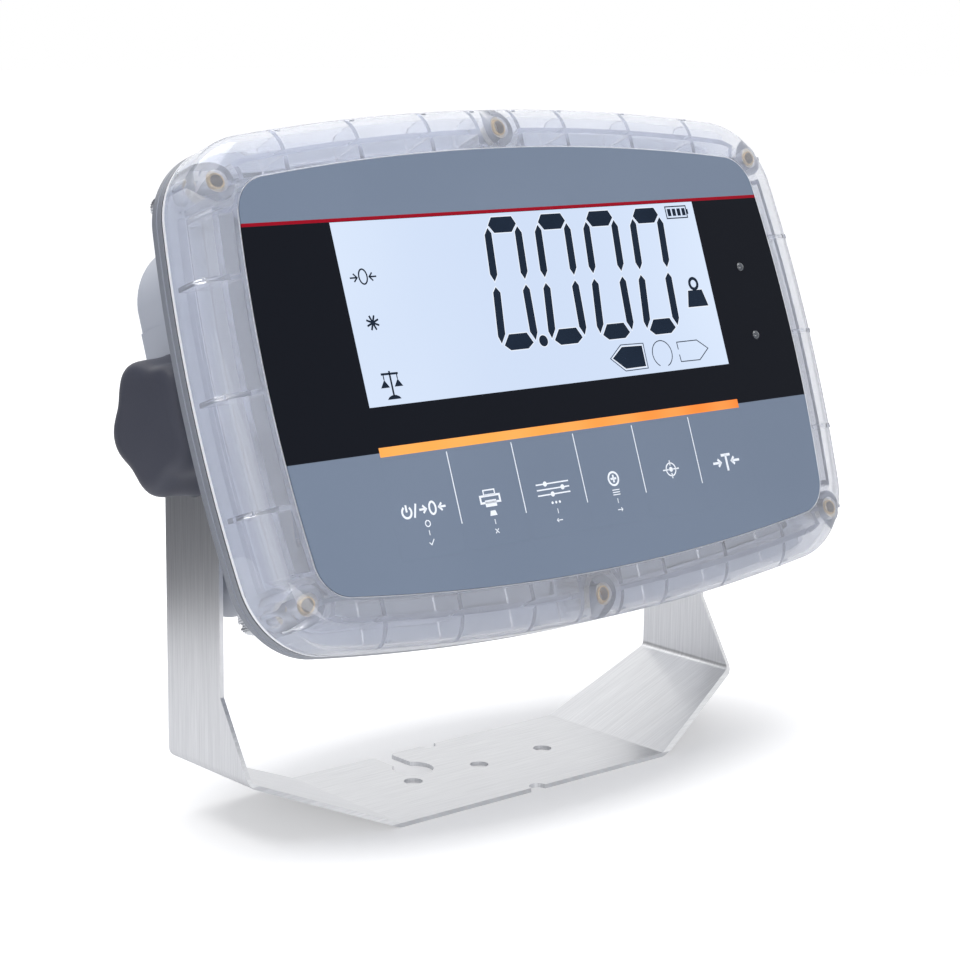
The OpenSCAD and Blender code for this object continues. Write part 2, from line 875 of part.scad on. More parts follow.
module strap_screws() {
    back = head_depth - wall;
    color("silver")
    on_head() for (s = [-1, 1]) {
        place = [battery_x + s * (battery_w + strap_foot) / 2, battery_z];
        rod(place, back - strap_t, back + strap_screw_l - strap_t, strap_screw_r);
        rod(place, back - strap_t - board_head_t, back - strap_t, board_head_r);
    }
}

// Seat of each cable gland: the origin is on its outer land and Z runs inwards
module gland_frame_local() {
    for (s = [-1, 1]) translate([s * gland_x, gland_d, -box_bottom]) children();
}

module gland_frame() {
    on_head() gland_frame_local() rotate([180, 0, 0]) children();
}

module gland_bodies() {
    color("gray")
    gland_frame() difference() {
        union() {
            translate([0, 0, gland_washer_t]) cylinder(h = gland_hex_t, r = gland_hex_r, $fn = 6);
            translate([0, 0, -gland_inside_l]) cylinder(h = gland_inside_l + gland_washer_t, r = gland_thread_r);
            cylinder(h = gland_washer_t + gland_hex_t + gland_neck_l, r = gland_neck_r);
        }
        translate([0, 0, -gland_inside_l - over])
            cylinder(h = gland_inside_l + gland_washer_t + gland_hex_t + gland_neck_l + 2 * over, r = gland_bore_r);
    }
}

module gland_washers() {
    color("black")
    gland_frame() difference() {
        cylinder(h = gland_washer_t, r = gland_hex_r);
        translate([0, 0, -over]) cylinder(h = gland_washer_t + 2 * over, r = gland_thread_r);
    }
}

module gland_seals() {
    start = gland_washer_t + gland_hex_t;
    color("black")
    gland_frame() difference() {
        translate([0, 0, start]) cylinder(h = gland_neck_l, r = gland_bore_r);
        translate([0, 0, start - over]) cylinder(h = gland_neck_l + 2 * over, r = gland_seal_bore_r);
    }
}

module gland_nuts() {
    start = gland_washer_t + gland_hex_t;
    end = start + gland_nut_l;
    color("gray")
    gland_frame() difference() {
        union() {
            translate([0, 0, start]) cylinder(h = gland_nut_l / 2, r = gland_nut_flats_r, $fn = 12);
            rotate_extrude() polygon([
                [0, start], [gland_nut_r, start], [gland_nut_r, end - gland_nut_dome],
                [gland_nut_r - gland_nut_dome * 0.4, end - gland_nut_dome * 0.4],
                [gland_nut_r - gland_nut_dome, end], [0, end]
            ]);
        }
        translate([0, 0, start - over]) cylinder(h = gland_neck_l + over, r = gland_neck_r);
        translate([0, 0, start]) cylinder(h = gland_nut_l + over, r = gland_seal_bore_r);
    }
}

module gland_locknuts() {
    color("gray")
    gland_frame() translate([0, 0, -gland_land_t - gland_lock_t]) difference() {
        cylinder(h = gland_lock_t, r = gland_lock_r, $fn = 6);
        translate([0, 0, -over]) cylinder(h = gland_lock_t + 2 * over, r = gland_thread_r);
    }
}

function lobe_ring(x, share) = [
    for (j = [0 : knob_steps - 1])
        let (a = 360 * j / knob_steps, r = share * (knob_r + lobe_h * cos(lobes * (a - 180))))
        [x, -r * cos(a), r * sin(a)]
];

module knob(s) {
    near = arm_x + run_gap;
    far = near + knob_l;
    rings = concat(
        [for (i = [len(knob_edge_shares) - 1 : -1 : 0])
            let (e = knob_edge_shares[i]) lobe_ring(-near - e[0] * knob_l, e[1])],
        [lobe_ring(-near, knob_flare_share)]
    );
    color([0.25, 0.26, 0.31])
    translate([0, pivot_y, pivot_h]) rotate([-lean, 0, 0]) scale([-s, 1, 1]) difference() {
        skin(rings);
        translate([-near - knob_hollow_l, 0, 0]) rotate([0, 90, 0]) difference() {
            cylinder(h = knob_hollow_l + over, r = knob_hollow_r);
            translate([0, 0, -over]) cylinder(h = knob_hollow_l + 3 * over, r = knob_hub_r);
        }
        translate([-near - stud_bite, 0, 0]) rotate([0, 90, 0]) cylinder(h = stud_bite + over, r = stud_d / 2);
    }
}

module knob_left() knob(-1);
module knob_right() knob(1);

module stud(s) {
    near = arm_x + run_gap;
    color("silver")
    on_head() scale([s, 1, 1]) cross_rod(pad_x - stud_reach, near + stud_bite, stud_d / 2);
}

module stud_left() stud(-1);
module stud_right() stud(1);

bracket();
front_housing();
rear_housing();
housing_gasket();
housing_inserts();
housing_screws();
pivot_inserts();
friction_washers();
overlay();
key(1);  // key_1
key(2);  // key_2
key(3);  // key_3
key(4);  // key_4
key(5);  // key_5
key(6);  // key_6
keypad_circuit();
key_domes();
keypad_tail();
window_pane();
sensor_lenses();
proximity_sensors();
light_bar();
bar_leds();
lcd_glass();
lcd_backlight();
lcd_bezel();
main_board();
board_screws();
board_chips();
terminal_blocks();
power_board();
power_parts();
power_screws();
battery_pack();
battery_strap();
strap_screws();
gland_bodies();
gland_washers();
gland_seals();
gland_nuts();
gland_locknuts();
knob_left();
knob_right();
stud_left();
stud_right();
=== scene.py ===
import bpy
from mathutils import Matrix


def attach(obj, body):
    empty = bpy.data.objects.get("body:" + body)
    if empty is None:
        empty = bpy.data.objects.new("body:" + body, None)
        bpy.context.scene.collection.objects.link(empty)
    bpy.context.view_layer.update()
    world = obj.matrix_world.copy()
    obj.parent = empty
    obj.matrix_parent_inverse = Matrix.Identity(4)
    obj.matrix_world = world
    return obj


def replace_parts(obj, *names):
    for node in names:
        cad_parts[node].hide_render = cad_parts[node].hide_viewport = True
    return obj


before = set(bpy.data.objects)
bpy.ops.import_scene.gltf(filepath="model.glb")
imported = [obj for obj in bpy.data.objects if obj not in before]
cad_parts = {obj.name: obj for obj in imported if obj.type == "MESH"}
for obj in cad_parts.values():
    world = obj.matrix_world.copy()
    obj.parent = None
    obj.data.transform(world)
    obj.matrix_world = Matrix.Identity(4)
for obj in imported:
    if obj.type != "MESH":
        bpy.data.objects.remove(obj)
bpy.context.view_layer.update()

import math

import bmesh
import bpy
from mathutils import Matrix, Vector


# Bracket: one strip of 1.5 mm stainless steel, cut to shape and bent four times into a foot, two slants and
# two arms. The sheet was brushed along its length before it was bent, so the grain follows every bend.
def linear(code):
    """The linear colour, with an alpha of 1, of an sRGB hex value."""
    parts = [int(code[i : i + 2], 16) / 255 for i in (1, 3, 5)]
    return tuple(c / 12.92 if c <= 0.04045 else ((c + 0.055) / 1.055) ** 2.4 for c in parts) + (1.0,)


def add(tree, kind, inputs=None, **settings):
    """A new node with its settings, and with a value or a link for each named input."""
    made = tree.nodes.new("ShaderNode" + kind)
    for name, value in settings.items():
        setattr(made, name, value)
    for socket, value in (inputs or {}).items():
        if isinstance(value, bpy.types.NodeSocket):
            tree.links.new(value, made.inputs[socket])
        else:
            made.inputs[socket].default_value = value
    return made


def new_finish(name):
    """An empty material and its node tree."""
    made = bpy.data.materials.new(name)
    made.use_nodes = True
    made.node_tree.nodes.clear()
    return made, made.node_tree


def mix(tree, share, first, second):
    """The colour between two, by a share from 0 to 1. Each is a hex value or another node's colour."""
    ends = [linear(end) if isinstance(end, str) else end for end in (first, second)]
    return add(tree, "Mix", {0: share, 6: ends[0], 7: ends[1]}, data_type="RGBA").outputs[2]


def between(tree, value, low, high, start=0.0, end=1.0):
    """A number that goes from low to high while the value goes from start to end."""
    made = add(tree, "MapRange", {
        "Value": value, "From Min": start, "From Max": end, "To Min": low, "To Max": high,
    })
    return made.outputs[0]


def relief(tree, height, strength, depth):
    """Small bumps in a surface, with their depth in metres."""
    return add(tree, "Bump", {"Height": height, "Strength": strength, "Distance": depth}).outputs[0]


def show(tree, shader, what="Material"):
    """Makes a shader the surface of the material or the world."""
    add(tree, "Output" + what, {"Surface": shader.outputs[0]})


def dress(finish, *cad_nodes):
    """Gives CAD nodes their finish."""
    for name in cad_nodes:
        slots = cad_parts[name].data.materials
        slots.clear()
        slots.append(finish)


# Brushed stainless steel: grey and soft, with streaks along the strip. Real brush lines are 0.05 mm apart,
# which is too fine to show, so they are drawn 0.4 mm apart across the strip and 25 mm long.
streaks_per_metre = (40, 2400, 40)
brushed_steel, tree = new_finish("brushed_stainless_steel")
place = add(tree, "TexCoord")
drawn_out = add(tree, "Mapping", {"Vector": place.outputs["Object"], "Scale": streaks_per_metre})
streaks = add(tree, "TexNoise", {
    "Vector": drawn_out.outputs[0], "Scale": 1.0, "Detail": 5.0, "Roughness": 0.65,
}).outputs["Fac"]
along = add(tree, "Tangent", direction_type="RADIAL", axis="Y")
steel = add(tree, "BsdfPrincipled", {
    "Base Color": mix(tree, streaks, "#c0c1c5", "#f9fafc"),
    "Metallic": 1.0,
    "Roughness": between(tree, streaks, 0.28, 0.38),
    "Anisotropic": 0.6,
    "Anisotropic Rotation": 0.25,
    "Tangent": along.outputs[0],
    "Normal": relief(tree, streaks, 0.5, 0.00003),
})
show(tree, steel)
dress(brushed_steel, "bracket")


# Rear housing: a grey ABS moulding. Its rim has two grooves all round, and behind the rim stands a deep box
# with drafted walls, a flat pad at each pivot, a land for each cable gland, and bosses for board and studs.
# The head is drawn in millimetres on its own axes: x to the right, depth behind the face, z up the face.
pivot_depth, pivot_z = 52.4, 1
pivot_y, pivot_h, lean = 14, 133, 20.3
PIVOT = (
    Matrix.Scale(0.001, 4) @ Matrix.Translation((0, pivot_y, pivot_h))
    @ Matrix.Rotation(math.radians(-lean), 4, "X")
)
HEAD = PIVOT @ Matrix.Translation((0, -pivot_depth, -pivot_z))
ACROSS, DEPTH, UP = 0, 1, 2  # the head's axes
over = 1  # how far a cut reaches past what it cuts
wall, front_depth, rim_back = 3, 19.3, 25.8
half_w, half_h, top_bow, side_bow, corner_r = 131, 87, 840, 500, 28
top_c, side_c = Vector((0, half_h - top_bow)), Vector((half_w - side_bow, 0))
apart = side_c - top_c
reach = ((top_bow - corner_r) ** 2 - (side_bow - corner_r) ** 2 + apart.length_squared) / (2 * apart.length)
rise = math.sqrt((top_bow - corner_r) ** 2 - reach**2)
unit = apart.normalized()
corner_c = top_c + unit * reach + Vector((unit.y, -unit.x)) * rise
side_a = math.degrees(math.atan2(corner_c.y, corner_c.x - side_c.x))
top_a = math.degrees(math.atan2(corner_c.y - top_c.y, corner_c.x))


def arc(centre, radius, start, end, steps):
    """Points along an arc, from start to just before end, in degrees."""
    turns = [math.radians(start + (end - start) * i / steps) for i in range(steps)]
    return [(centre[0] + radius * math.cos(a), centre[1] + radius * math.sin(a)) for a in turns]


def circle(centre, radius, steps=64):
    return arc(centre, radius, 0, 360, steps)


def rectangle(left, right, low, high):
    return [(left, low), (right, low), (right, high), (left, high)]


def rim(inset):
    """The head's outline, drawn in by an inset: four bowed sides that run into round corners."""
    x, z = corner_c
    return (
        arc(side_c, side_bow - inset, -side_a, side_a, 14)
        + arc((x, z), corner_r - inset, side_a, top_a, 18)
        + arc(top_c, top_bow - inset, top_a, 180 - top_a, 28)
        + arc((-x, z), corner_r - inset, 180 - top_a, 180 - side_a, 18)
        + arc(-side_c, side_bow - inset, 180 - side_a, 180 + side_a, 14)
        + arc((-x, -z), corner_r - inset, 180 + side_a, 180 + top_a, 18)
        + arc(-top_c, top_bow - inset, 180 + top_a, 360 - top_a, 28)
        + arc((x, -z), corner_r - inset, 360 - top_a, 360 - side_a, 18)
    )


def at(outline, depth):
    """An outline of the face, in x and z, at a depth behind it."""
    return [(x, depth, z) for x, z in outline]


def loft(rings, closed=False):
    """A mesh over rings of equally many points, with both ends capped unless it runs back to its start."""
    bm = bmesh.new()
    made = [[bm.verts.new(point) for point in ring] for ring in rings]
    for a, b in list(zip(made, made[1:])) + ([(made[-1], made[0])] if closed else []):
        for i in range(len(a)):
            bm.faces.new((a[i - 1], a[i], b[i], b[i - 1]))
    if not closed:
        bm.faces.new(made[0])
        bm.faces.new(reversed(made[-1]))
    bmesh.ops.recalc_face_normals(bm, faces=bm.faces)
    return bm


def prism(outline, start, end):
    return loft([at(outline, start), at(outline, end)])


def drum(centre, along, start, end, radius, steps=64):
    """A cylinder along one axis of the head. centre is its place on the two axes that follow that one."""
    rings = []
    for far in (start, end):
        rings.append([])
        for a, b in circle(centre, radius, steps):
            point = [0, 0, 0]
            point[along], point[(along + 1) % 3], point[(along + 2) % 3] = far, a, b
            rings[-1].append(point)
    return loft(rings)


def drums(places, start, end, radius, steps=64):
    """A cylinder behind each place on the face."""
    return [drum((z, x), DEPTH, start, end, radius, steps) for x, z in places]


def together(parts):
    """One mesh that holds several."""
    whole = bmesh.new()
    for part in parts:
        carry = bpy.data.meshes.new("carry")
        part.to_mesh(carry)
        part.free()
        whole.from_mesh(carry)
        bpy.data.meshes.remove(carry)
    return whole


def placed(name, data):
    """A new object in the scene."""
    made = bpy.data.objects.new(name, data)
    bpy.context.scene.collection.objects.link(made)
    return made


def shaped(base, tool, how):
    """A closed mesh after another is added to it (UNION) or cut out of it (DIFFERENCE)."""
    pair = []
    for bm in (base, tool):
        carry = bpy.data.meshes.new("carry")
        bm.to_mesh(carry)
        bm.free()
        pair.append(placed("carry", carry))
    step = pair[0].modifiers.new("step", "BOOLEAN")
    step.object, step.operation, step.solver = pair[1], how, "MANIFOLD"
    whole = bmesh.new()
    ready = pair[0].evaluated_get(bpy.context.evaluated_depsgraph_get())
    whole.from_mesh(ready.to_mesh())
    ready.to_mesh_clear()
    for thing in pair:
        carry = thing.data
        bpy.data.objects.remove(thing)
        bpy.data.meshes.remove(carry)
    return whole


def settle(name, bm, finishes, body, place=HEAD, sharp=32):
    """Puts a mesh drawn in millimetres on a body, smooth but for edges sharper than an angle in degrees."""
    bm.transform(place)
    for edge in bm.edges:
        edge.smooth = len(edge.link_faces) == 2 and edge.calc_face_angle(0) < math.radians(sharp)
    for face in bm.faces:
        face.smooth = True
    data = bpy.data.meshes.new(name)
    bm.to_mesh(data)
    bm.free()
    for finish in finishes:
        data.materials.append(finish)
    made = placed(name, data)
    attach(made, body)
    return made


def noise(tree, per_metre, detail):
    """Soft noise through the piece, with so many lumps to the metre."""
    place = add(tree, "TexCoord")
    made = add(tree, "TexNoise", {"Vector": place.outputs["Object"], "Scale": per_metre, "Detail": detail})
    return made.outputs["Fac"]


def moulded(name, dark, light, roughness, grain, height, specular=0.5):
    """A moulded plastic: a slight cloud between two near colours, and the mould's grain, sized in mm."""
    made, tree = new_finish(name)
    grains = noise(tree, 1000 / grain, 2)
    plastic = add(tree, "BsdfPrincipled", {
        "Base Color": mix(tree, noise(tree, 28, 2), dark, light),
        "Roughness": between(tree, grains, roughness - 0.05, roughness + 0.05),
        "IOR": 1.5,
        "Specular IOR Level": specular,
        "Normal": relief(tree, grains, 0.6, height / 1000),
    })
    show(tree, plastic)
    return made


box_half_w, box_top, box_low, box_top_r, box_low_r = 107.4, 65, -62, 24, 13
box_front, box_back, box_draft, box_edge_r = 23.3, 78, 1.1, 3.5


def box_outline(inset):
    """The deep box's outline, drawn in by an inset. Its upper corners are the rounder ones."""
    top_x, top_z, top_r = box_half_w - box_top_r, box_top - box_top_r, box_top_r - inset
    low_x, low_z, low_r = box_half_w - box_low_r, box_low + box_low_r, box_low_r - inset
    return (
        arc((top_x, top_z), top_r, 0, 90, 16) + arc((-top_x, top_z), top_r, 90, 180, 16)
        + arc((-low_x, low_z), low_r, 180, 270, 16) + arc((low_x, low_z), low_r, 270, 360, 16)
    )


def deep_box(inset, front, back):
    """The drafted box, with a radius round its rear edge."""
    turns = [math.pi / 2 * i / 8 for i in range(9)]
    edge = [(box_edge_r * (1 - math.cos(a)), box_edge_r * (1 - math.sin(a))) for a in turns]
    rear = [at(box_outline(inset + box_draft + i), back - d) for i, d in edge]
    return loft([at(box_outline(inset), front)] + rear)


# ABS from a spark-eroded mould: an even light grey with a soft sheen. Its grain is about 0.1 mm, and is
# drawn at 0.5 mm.
grey_abs = moulded("moulded_grey_abs", "#abb0bb", "#b4b9c4", 0.42, 0.5, 0.012)
grooves = [
    (1, 19.3), (0.8, 19.36), (0.8, 19.8), (0.1, 19.83), (0, 19.93), (0, 22.07), (0.1, 22.17), (0.5, 22.2),
    (0.5, 22.8), (0.1, 22.83), (0, 22.93), (0, 25.17), (0.1, 25.27), (0.5, 25.3), (0.5, 25.7), (0.7, 25.8),
]
pad_front, pad_h = 28, 70
gland_x, gland_depth, gland_r, land_r, land_z = 39.964, 50, 8, 13, -58
shell = shaped(loft([at(rim(i), d) for i, d in grooves]), deep_box(0, box_front, box_back), "UNION")
for side in (-1, 1):
    pad = rectangle(side * (box_half_w - wall), side * box_half_w, -pad_h / 2, pad_h / 2)
    shell = shaped(shell, prism(pad, pad_front, box_back - box_edge_r), "UNION")
    shell = shaped(shell, drum((side * gland_x, gland_depth), UP, box_low, land_z, land_r), "UNION")

power_places = [(x, z) for x in (11.8, 80) for z in (-18, 38)]
power_front, power_boss_r, power_hole_r = 69, 3.5, 1.5
pivot_boss_l, pivot_boss_r = 20, 11
cavity = deep_box(wall, front_depth - over, box_back - wall)
power_bosses = drums(power_places, power_front, box_back - wall + over, power_boss_r, 32)
cavity = shaped(cavity, together(power_bosses), "DIFFERENCE")
for side in (-1, 1):
    ends = side * (box_half_w - pivot_boss_l), side * (box_half_w + over)
    cavity = shaped(cavity, drum((pivot_depth, pivot_z), ACROSS, *ends, pivot_boss_r), "DIFFERENCE")
    land = drum((side * gland_x, gland_depth), UP, box_low - over, land_z, land_r)
    cavity = shaped(cavity, land, "DIFFERENCE")
shell = shaped(shell, cavity, "DIFFERENCE")

pivot_insert_l, pivot_insert_r, flange_t, flange_r = 17, 7, 1.5, 9
for side in (-1, 1):
    for length, radius in ((pivot_insert_l, pivot_insert_r), (flange_t, flange_r)):
        ends = side * (box_half_w - length), side * (box_half_w + over)
        shell = shaped(shell, drum((pivot_depth, pivot_z), ACROSS, *ends, radius), "DIFFERENCE")
    ends = box_low - over, land_z + over
    shell = shaped(shell, drum((side * gland_x, gland_depth), UP, *ends, gland_r), "DIFFERENCE")

screw_x, screw_z, screw_mid_z, screw_hole_r = 116.3, 64.9, 79, 2.3
screw_places = [(-screw_x, screw_z), (0, screw_mid_z), (screw_x, screw_z)]
screw_places += [(x, -z) for x, z in screw_places]
strap_places, strap_hole_r, strap_hole_skin = [(-90, 4), (-14.04, 4)], 1.3, 1
holes = drums(screw_places, front_depth - over, rim_back + over, screw_hole_r, 32)
holes += drums(power_places, power_front - over, box_back - wall, power_hole_r, 24)
holes += drums(strap_places, box_back - wall - over, box_back - strap_hole_skin, strap_hole_r, 24)
shell = shaped(shell, together(holes), "DIFFERENCE")


def on_rims(*insets):
    """The places of the points of some rims, to 0.01 mm."""
    return {(round(x, 2), round(z, 2)) for inset in insets for x, z in rim(inset)}


def within(face, places):
    """Whether all corners of a face are among some places."""
    return {(round(v.co.x, 2), round(v.co.z, 2)) for v in face.verts} <= places


# The rim's outer side is the same ABS, smoother and painted darker than the grained box behind. Its grey is
# painted shade for a side turned from the light. The narrow gap at the seam is painted near-black as painted
# shade, and reads as a dark line.
shaded_rim_abs = moulded("grey_abs_rim_painted_shade", "#7a7e87", "#848891", 0.3, 0.5, 0.004)
seam_gap_shade_abs = moulded("abs_seam_gap_painted_shade", "#2b2d33", "#35373d", 0.6, 0.5, 0.012)
outer, gap, gap_back = on_rims(0, 0.1), on_rims(0.1, 0.8), 19.9
# The seam gap's faces take the painted shade, and the rim's outer faces take the darker, painted-shade rim
# grey.
for face in shell.faces:
    in_gap = within(face, gap) and max(v.co.y for v in face.verts) < gap_back
    face.material_index = 2 if in_gap else int(within(face, outer))
rear = settle("rear_shell", shell, [grey_abs, shaded_rim_abs, seam_gap_shade_abs], "head")
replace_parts(rear, "rear_housing")


# Pivots: a brass insert with a flange is moulded into each pad, and a thin nylon washer sits between the pad
# and the arm.
def turned(name, dark, light, roughness, pitch):
    """A bare metal with the fine rings or scratches of its making, at a pitch in millimetres."""
    made, tree = new_finish(name)
    scratches = noise(tree, 1000 / pitch, 3)
    metal = add(tree, "BsdfPrincipled", {
        "Base Color": mix(tree, scratches, dark, light),
        "Metallic": 1.0,
        "Roughness": between(tree, scratches, roughness - 0.06, roughness + 0.06),
        "Normal": relief(tree, scratches, 0.4, 0.00001),
    })
    show(tree, metal)
    return made


# Turned brass: a warm yellow metal, a little dull from handling. Nylon: a dark, slightly waxy moulding.
turned_brass = turned("turned_brass", "#b8975a", "#e3c88c", 0.3, 0.4)
black_nylon = moulded("moulded_black_nylon", "#1b1c1f", "#232428", 0.45, 0.5, 0.008)
dress(turned_brass, "pivot_inserts")
dress(black_nylon, "friction_washers")


# Power side: a fibreglass board with a taped transformer and two capacitors, held by four screws on bosses
# of the back wall, and a shrink-wrapped battery under a bent steel strap.
# Solder mask over fibreglass: glossy green, with paler copper tracks under it about 1 mm wide.
green_board, tree = new_finish("solder_masked_fibreglass")
place = add(tree, "TexCoord")
tracks = add(tree, "TexBrick", {
    "Vector": place.outputs["Object"], "Scale": 120.0, "Mortar Size": 0.06, "Color1": linear("#1c5a36"),
    "Color2": linear("#21643d"), "Mortar": linear("#2f7a4c"),
})
mask = add(tree, "BsdfPrincipled", {
    "Base Color": tracks.outputs["Color"], "Roughness": 0.28, "IOR": 1.5,
    "Normal": relief(tree, noise(tree, 900, 2), 0.3, 0.00001),
})
show(tree, mask)
dress(green_board, "power_board")

# Polyester tape over the transformer: pale yellow, slightly glossy. Zinc plate: a bright bluish metal. The
# battery's PVC sleeve: a glossy blue with slow waves.
taped_yellow = moulded("wound_polyester_tape", "#d2b23c", "#dec14c", 0.35, 1.2, 0.02)
zinc_plate = turned("zinc_plated_steel", "#b9bdc2", "#d5d9de", 0.28, 0.5)
shrink_wrap = moulded("shrink_wrapped_pvc", "#1f4f96", "#2659a6", 0.25, 3.0, 0.03)
dress(taped_yellow, "power_parts")
dress(zinc_plate, "power_screws", "battery_strap", "strap_screws")
dress(shrink_wrap, "battery_pack")


# Cable glands: two grey nylon glands in the bottom wall, each with a body, a flat washer, a rubber seal, a
# domed nut and a locknut inside.
# Glass-filled nylon: mid grey with a slight sheen. Nitrile rubber: nearly black and dull.
grey_nylon = moulded("moulded_grey_nylon", "#7c8087", "#868a91", 0.42, 0.5, 0.01)
black_rubber = moulded("moulded_nitrile_rubber", "#1a1b1d", "#202123", 0.62, 0.5, 0.01)
dress(grey_nylon, "gland_bodies", "gland_nuts", "gland_locknuts")
dress(black_rubber, "gland_washers", "gland_seals")


# Gasket: a grey silicone cord pressed between the front housing and the rim of the rear one. It is pale and
# matt, and only its edge shows at the seam.
silicone = moulded("moulded_grey_silicone", "#b0b4c0", "#b8bcc8", 0.55, 0.6, 0.01)
dress(silicone, "housing_gasket")


# Front housing: one clear polycarbonate moulding. Its shoulder rolls round the bowed outline; behind it, a
# sealed wall bends round six screw bosses, a second wall stands under the edge of the face, and thin ribs
# join them to the outer wall.
def near_edge(inset, value, across):
    """Where a rim crosses a line of constant x (across 0) or z (across 1), on its positive side."""
    ring = rim(inset)
    best = None
    for a, b in zip(ring, ring[1:] + ring[:1]):
        if (a[across] - value) * (b[across] - value) <= 0 and a[across] != b[across]:
            share = (value - a[across]) / (b[across] - a[across])
            other = a[1 - across] + (b[1 - across] - a[1 - across]) * share
            best = other if best is None else max(best, other)
    return best


def blended(tree, share, first, second):
    """A shader between two, by a share from 0 to 1."""
    return add(tree, "MixShader", {0: share, 1: first.outputs[0], 2: second.outputs[0]})


# Moulded clear polycarbonate: bright and glassy at its edges and a little milky through its thickness. Light
# goes through its walls, so shadow rays pass with a slight tint.
clear_pc, tree = new_finish("moulded_clear_polycarbonate")
flow = noise(tree, 60, 3)
glassy = add(tree, "BsdfPrincipled", {
    "Base Color": linear("#f9fafd"), "Roughness": 0.02, "IOR": 1.58, "Transmission Weight": 1.0,
    "Normal": relief(tree, flow, 0.12, 0.0004),
})
haze = add(tree, "BsdfTranslucent", {"Color": linear("#ecf0fa")})
milk = add(tree, "BsdfDiffuse", {"Color": linear("#ecf0fa")})
solid = blended(tree, between(tree, flow, 0.11, 0.19), glassy, blended(tree, 0.5, haze, milk))
passing = add(tree, "BsdfTransparent", {"Color": linear("#fafbfe")})
rays = add(tree, "LightPath")
show(tree, blended(tree, rays.outputs["Is Shadow Ray"], solid, passing))

recess_d, plate_back, lip, shoulder_inset, shoulder_depth = 2, 4.5, 0.255, 10, 8.5
profile = [(15.35, recess_d), (15.35, 0.62), (15.28, 0.42), (15.1, 0.3), (14.8, lip), (11.5, lip)]
for i in range(15):
    a = math.pi / 2 * i / 14
    drop = (shoulder_depth - lip) * (1 - math.cos(a))
    profile.append((shoulder_inset * (1 - math.sin(a)), lip + drop))
profile += [
    (0, 12), (0, 17.9), (0, 19.15), (0.15, 19.3), (2.9, 19.3), (3, 19.2), (3, 9.6), (3.1, 8.9), (3.5, 7.9),
    (4.3, 6.9), (5.4, 5.95), (6.8, 5.25), (8.4, 4.75), (10, 4.5),
]
body = loft([at(rim(i), d) for i, d in profile])

cell_front, cell_back, rib_t, sealed_inset, inner_inset = 3.5, 17, 1.6, 8.2, 14.6


def bent_block(inset, past):
    """A block that keeps as far from the rim as from each screw. It reaches past both ends of the cells."""
    front, back = cell_front - past, cell_back + past
    posts = together(drums(screw_places, front - over, back + over, inset, 48))
    return shaped(prism(rim(inset), front, back), posts, "DIFFERENCE")


sealed = shaped(bent_block(sealed_inset, 0), bent_block(sealed_inset + rib_t, over), "DIFFERENCE")
body = shaped(body, sealed, "UNION")
inner_space = prism(rim(inner_inset + rib_t), cell_front - over, cell_back + over)
inner = shaped(prism(rim(inner_inset), cell_front, cell_back), inner_space, "DIFFERENCE")
body = shaped(body, inner, "UNION")

rib_pitch, boss_rib_x, rib_z, rib_start, rib_stop = 29.8, 9, 35.5, 15.4, 1.5
rib_lines = []
for side in (-1, 1):
    for x in (rib_pitch, 2 * rib_pitch, 3 * rib_pitch, boss_rib_x):
        low, high = near_edge(rib_start, x, 0), near_edge(rib_stop, x, 0)
        for up in (-1, 1):
            rib_lines.append((side * x - rib_t / 2, side * x + rib_t / 2, up * low, up * high))
    for z in (-screw_z, -rib_z, 0, rib_z, screw_z):
        low, high = near_edge(rib_start, z, 1), near_edge(rib_stop, z, 1)
        rib_lines.append((side * low, side * high, z - rib_t / 2, z + rib_t / 2))
ribs = [prism(rectangle(*line), cell_front, cell_back) for line in rib_lines]
body = shaped(body, together(ribs), "UNION")

board_places = [(x, z) for x in (-97, 97) for z in (-56, 56)]
boss_r, board_boss_r, board_boss_back = 6, 4, 12.5
bosses = drums(screw_places, cell_front, front_depth, boss_r)
bosses += drums(board_places, cell_front, board_boss_back, board_boss_r, 48)
body = shaped(body, together(bosses), "UNION")

insert_front, insert_r, board_hole_r, slip = 3.6, 3.5, 1.5, 0.15
window_half, bar_low, bar_high, tail_slot = 80.04, -25, -22, (38.5, 53.5, -60.75, -59.25)
sensor_places, sensor_r = [(97.14, 24.9), (97.14, -0.1)], 1.6
bar_slot = (-window_half - slip, window_half + slip, bar_low - slip, bar_high + slip)
cuts = drums(screw_places, insert_front, front_depth + over, insert_r)
cuts += drums(board_places, plate_back, board_boss_back + over / 2, board_hole_r, 32)
ends = recess_d - over, plate_back + over / 2
cuts += drums(sensor_places, *ends, sensor_r + slip, 32)
cuts += [prism(rectangle(*slot), *ends) for slot in (bar_slot, tail_slot)]
body = shaped(body, together(cuts), "DIFFERENCE")

# Painted highlight on polycarbonate: the rear edge of the outer wall and the thin lip round the face are
# painted near-white and translucent, so they show as two fine white lines where the clear edges catch the
# light.
edge_highlight_pc, tree = new_finish("polycarbonate_edge_painted_highlight")
white = mix(tree, noise(tree, 1200, 2), "#f6f8fd", "#fdfdff")
haze = add(tree, "BsdfTranslucent", {"Color": white})
edge = add(tree, "BsdfPrincipled", {"Base Color": white, "Roughness": 0.35, "IOR": 1.58})
show(tree, blended(tree, 0.75, haze, edge))
wall_edge, wall_edge_front = on_rims(0, 0.15), 17.8
face_lip, face_lip_back = on_rims(15.35, 15.28, 15.1), 0.7
for face in body.faces:
    near = min(v.co.y for v in face.verts)
    at_edge = near > wall_edge_front and within(face, wall_edge)
    face.material_index = int(at_edge or near < face_lip_back and within(face, face_lip))
front = settle("clear_front", body, [clear_pc, edge_highlight_pc], "head")
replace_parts(front, "front_housing")


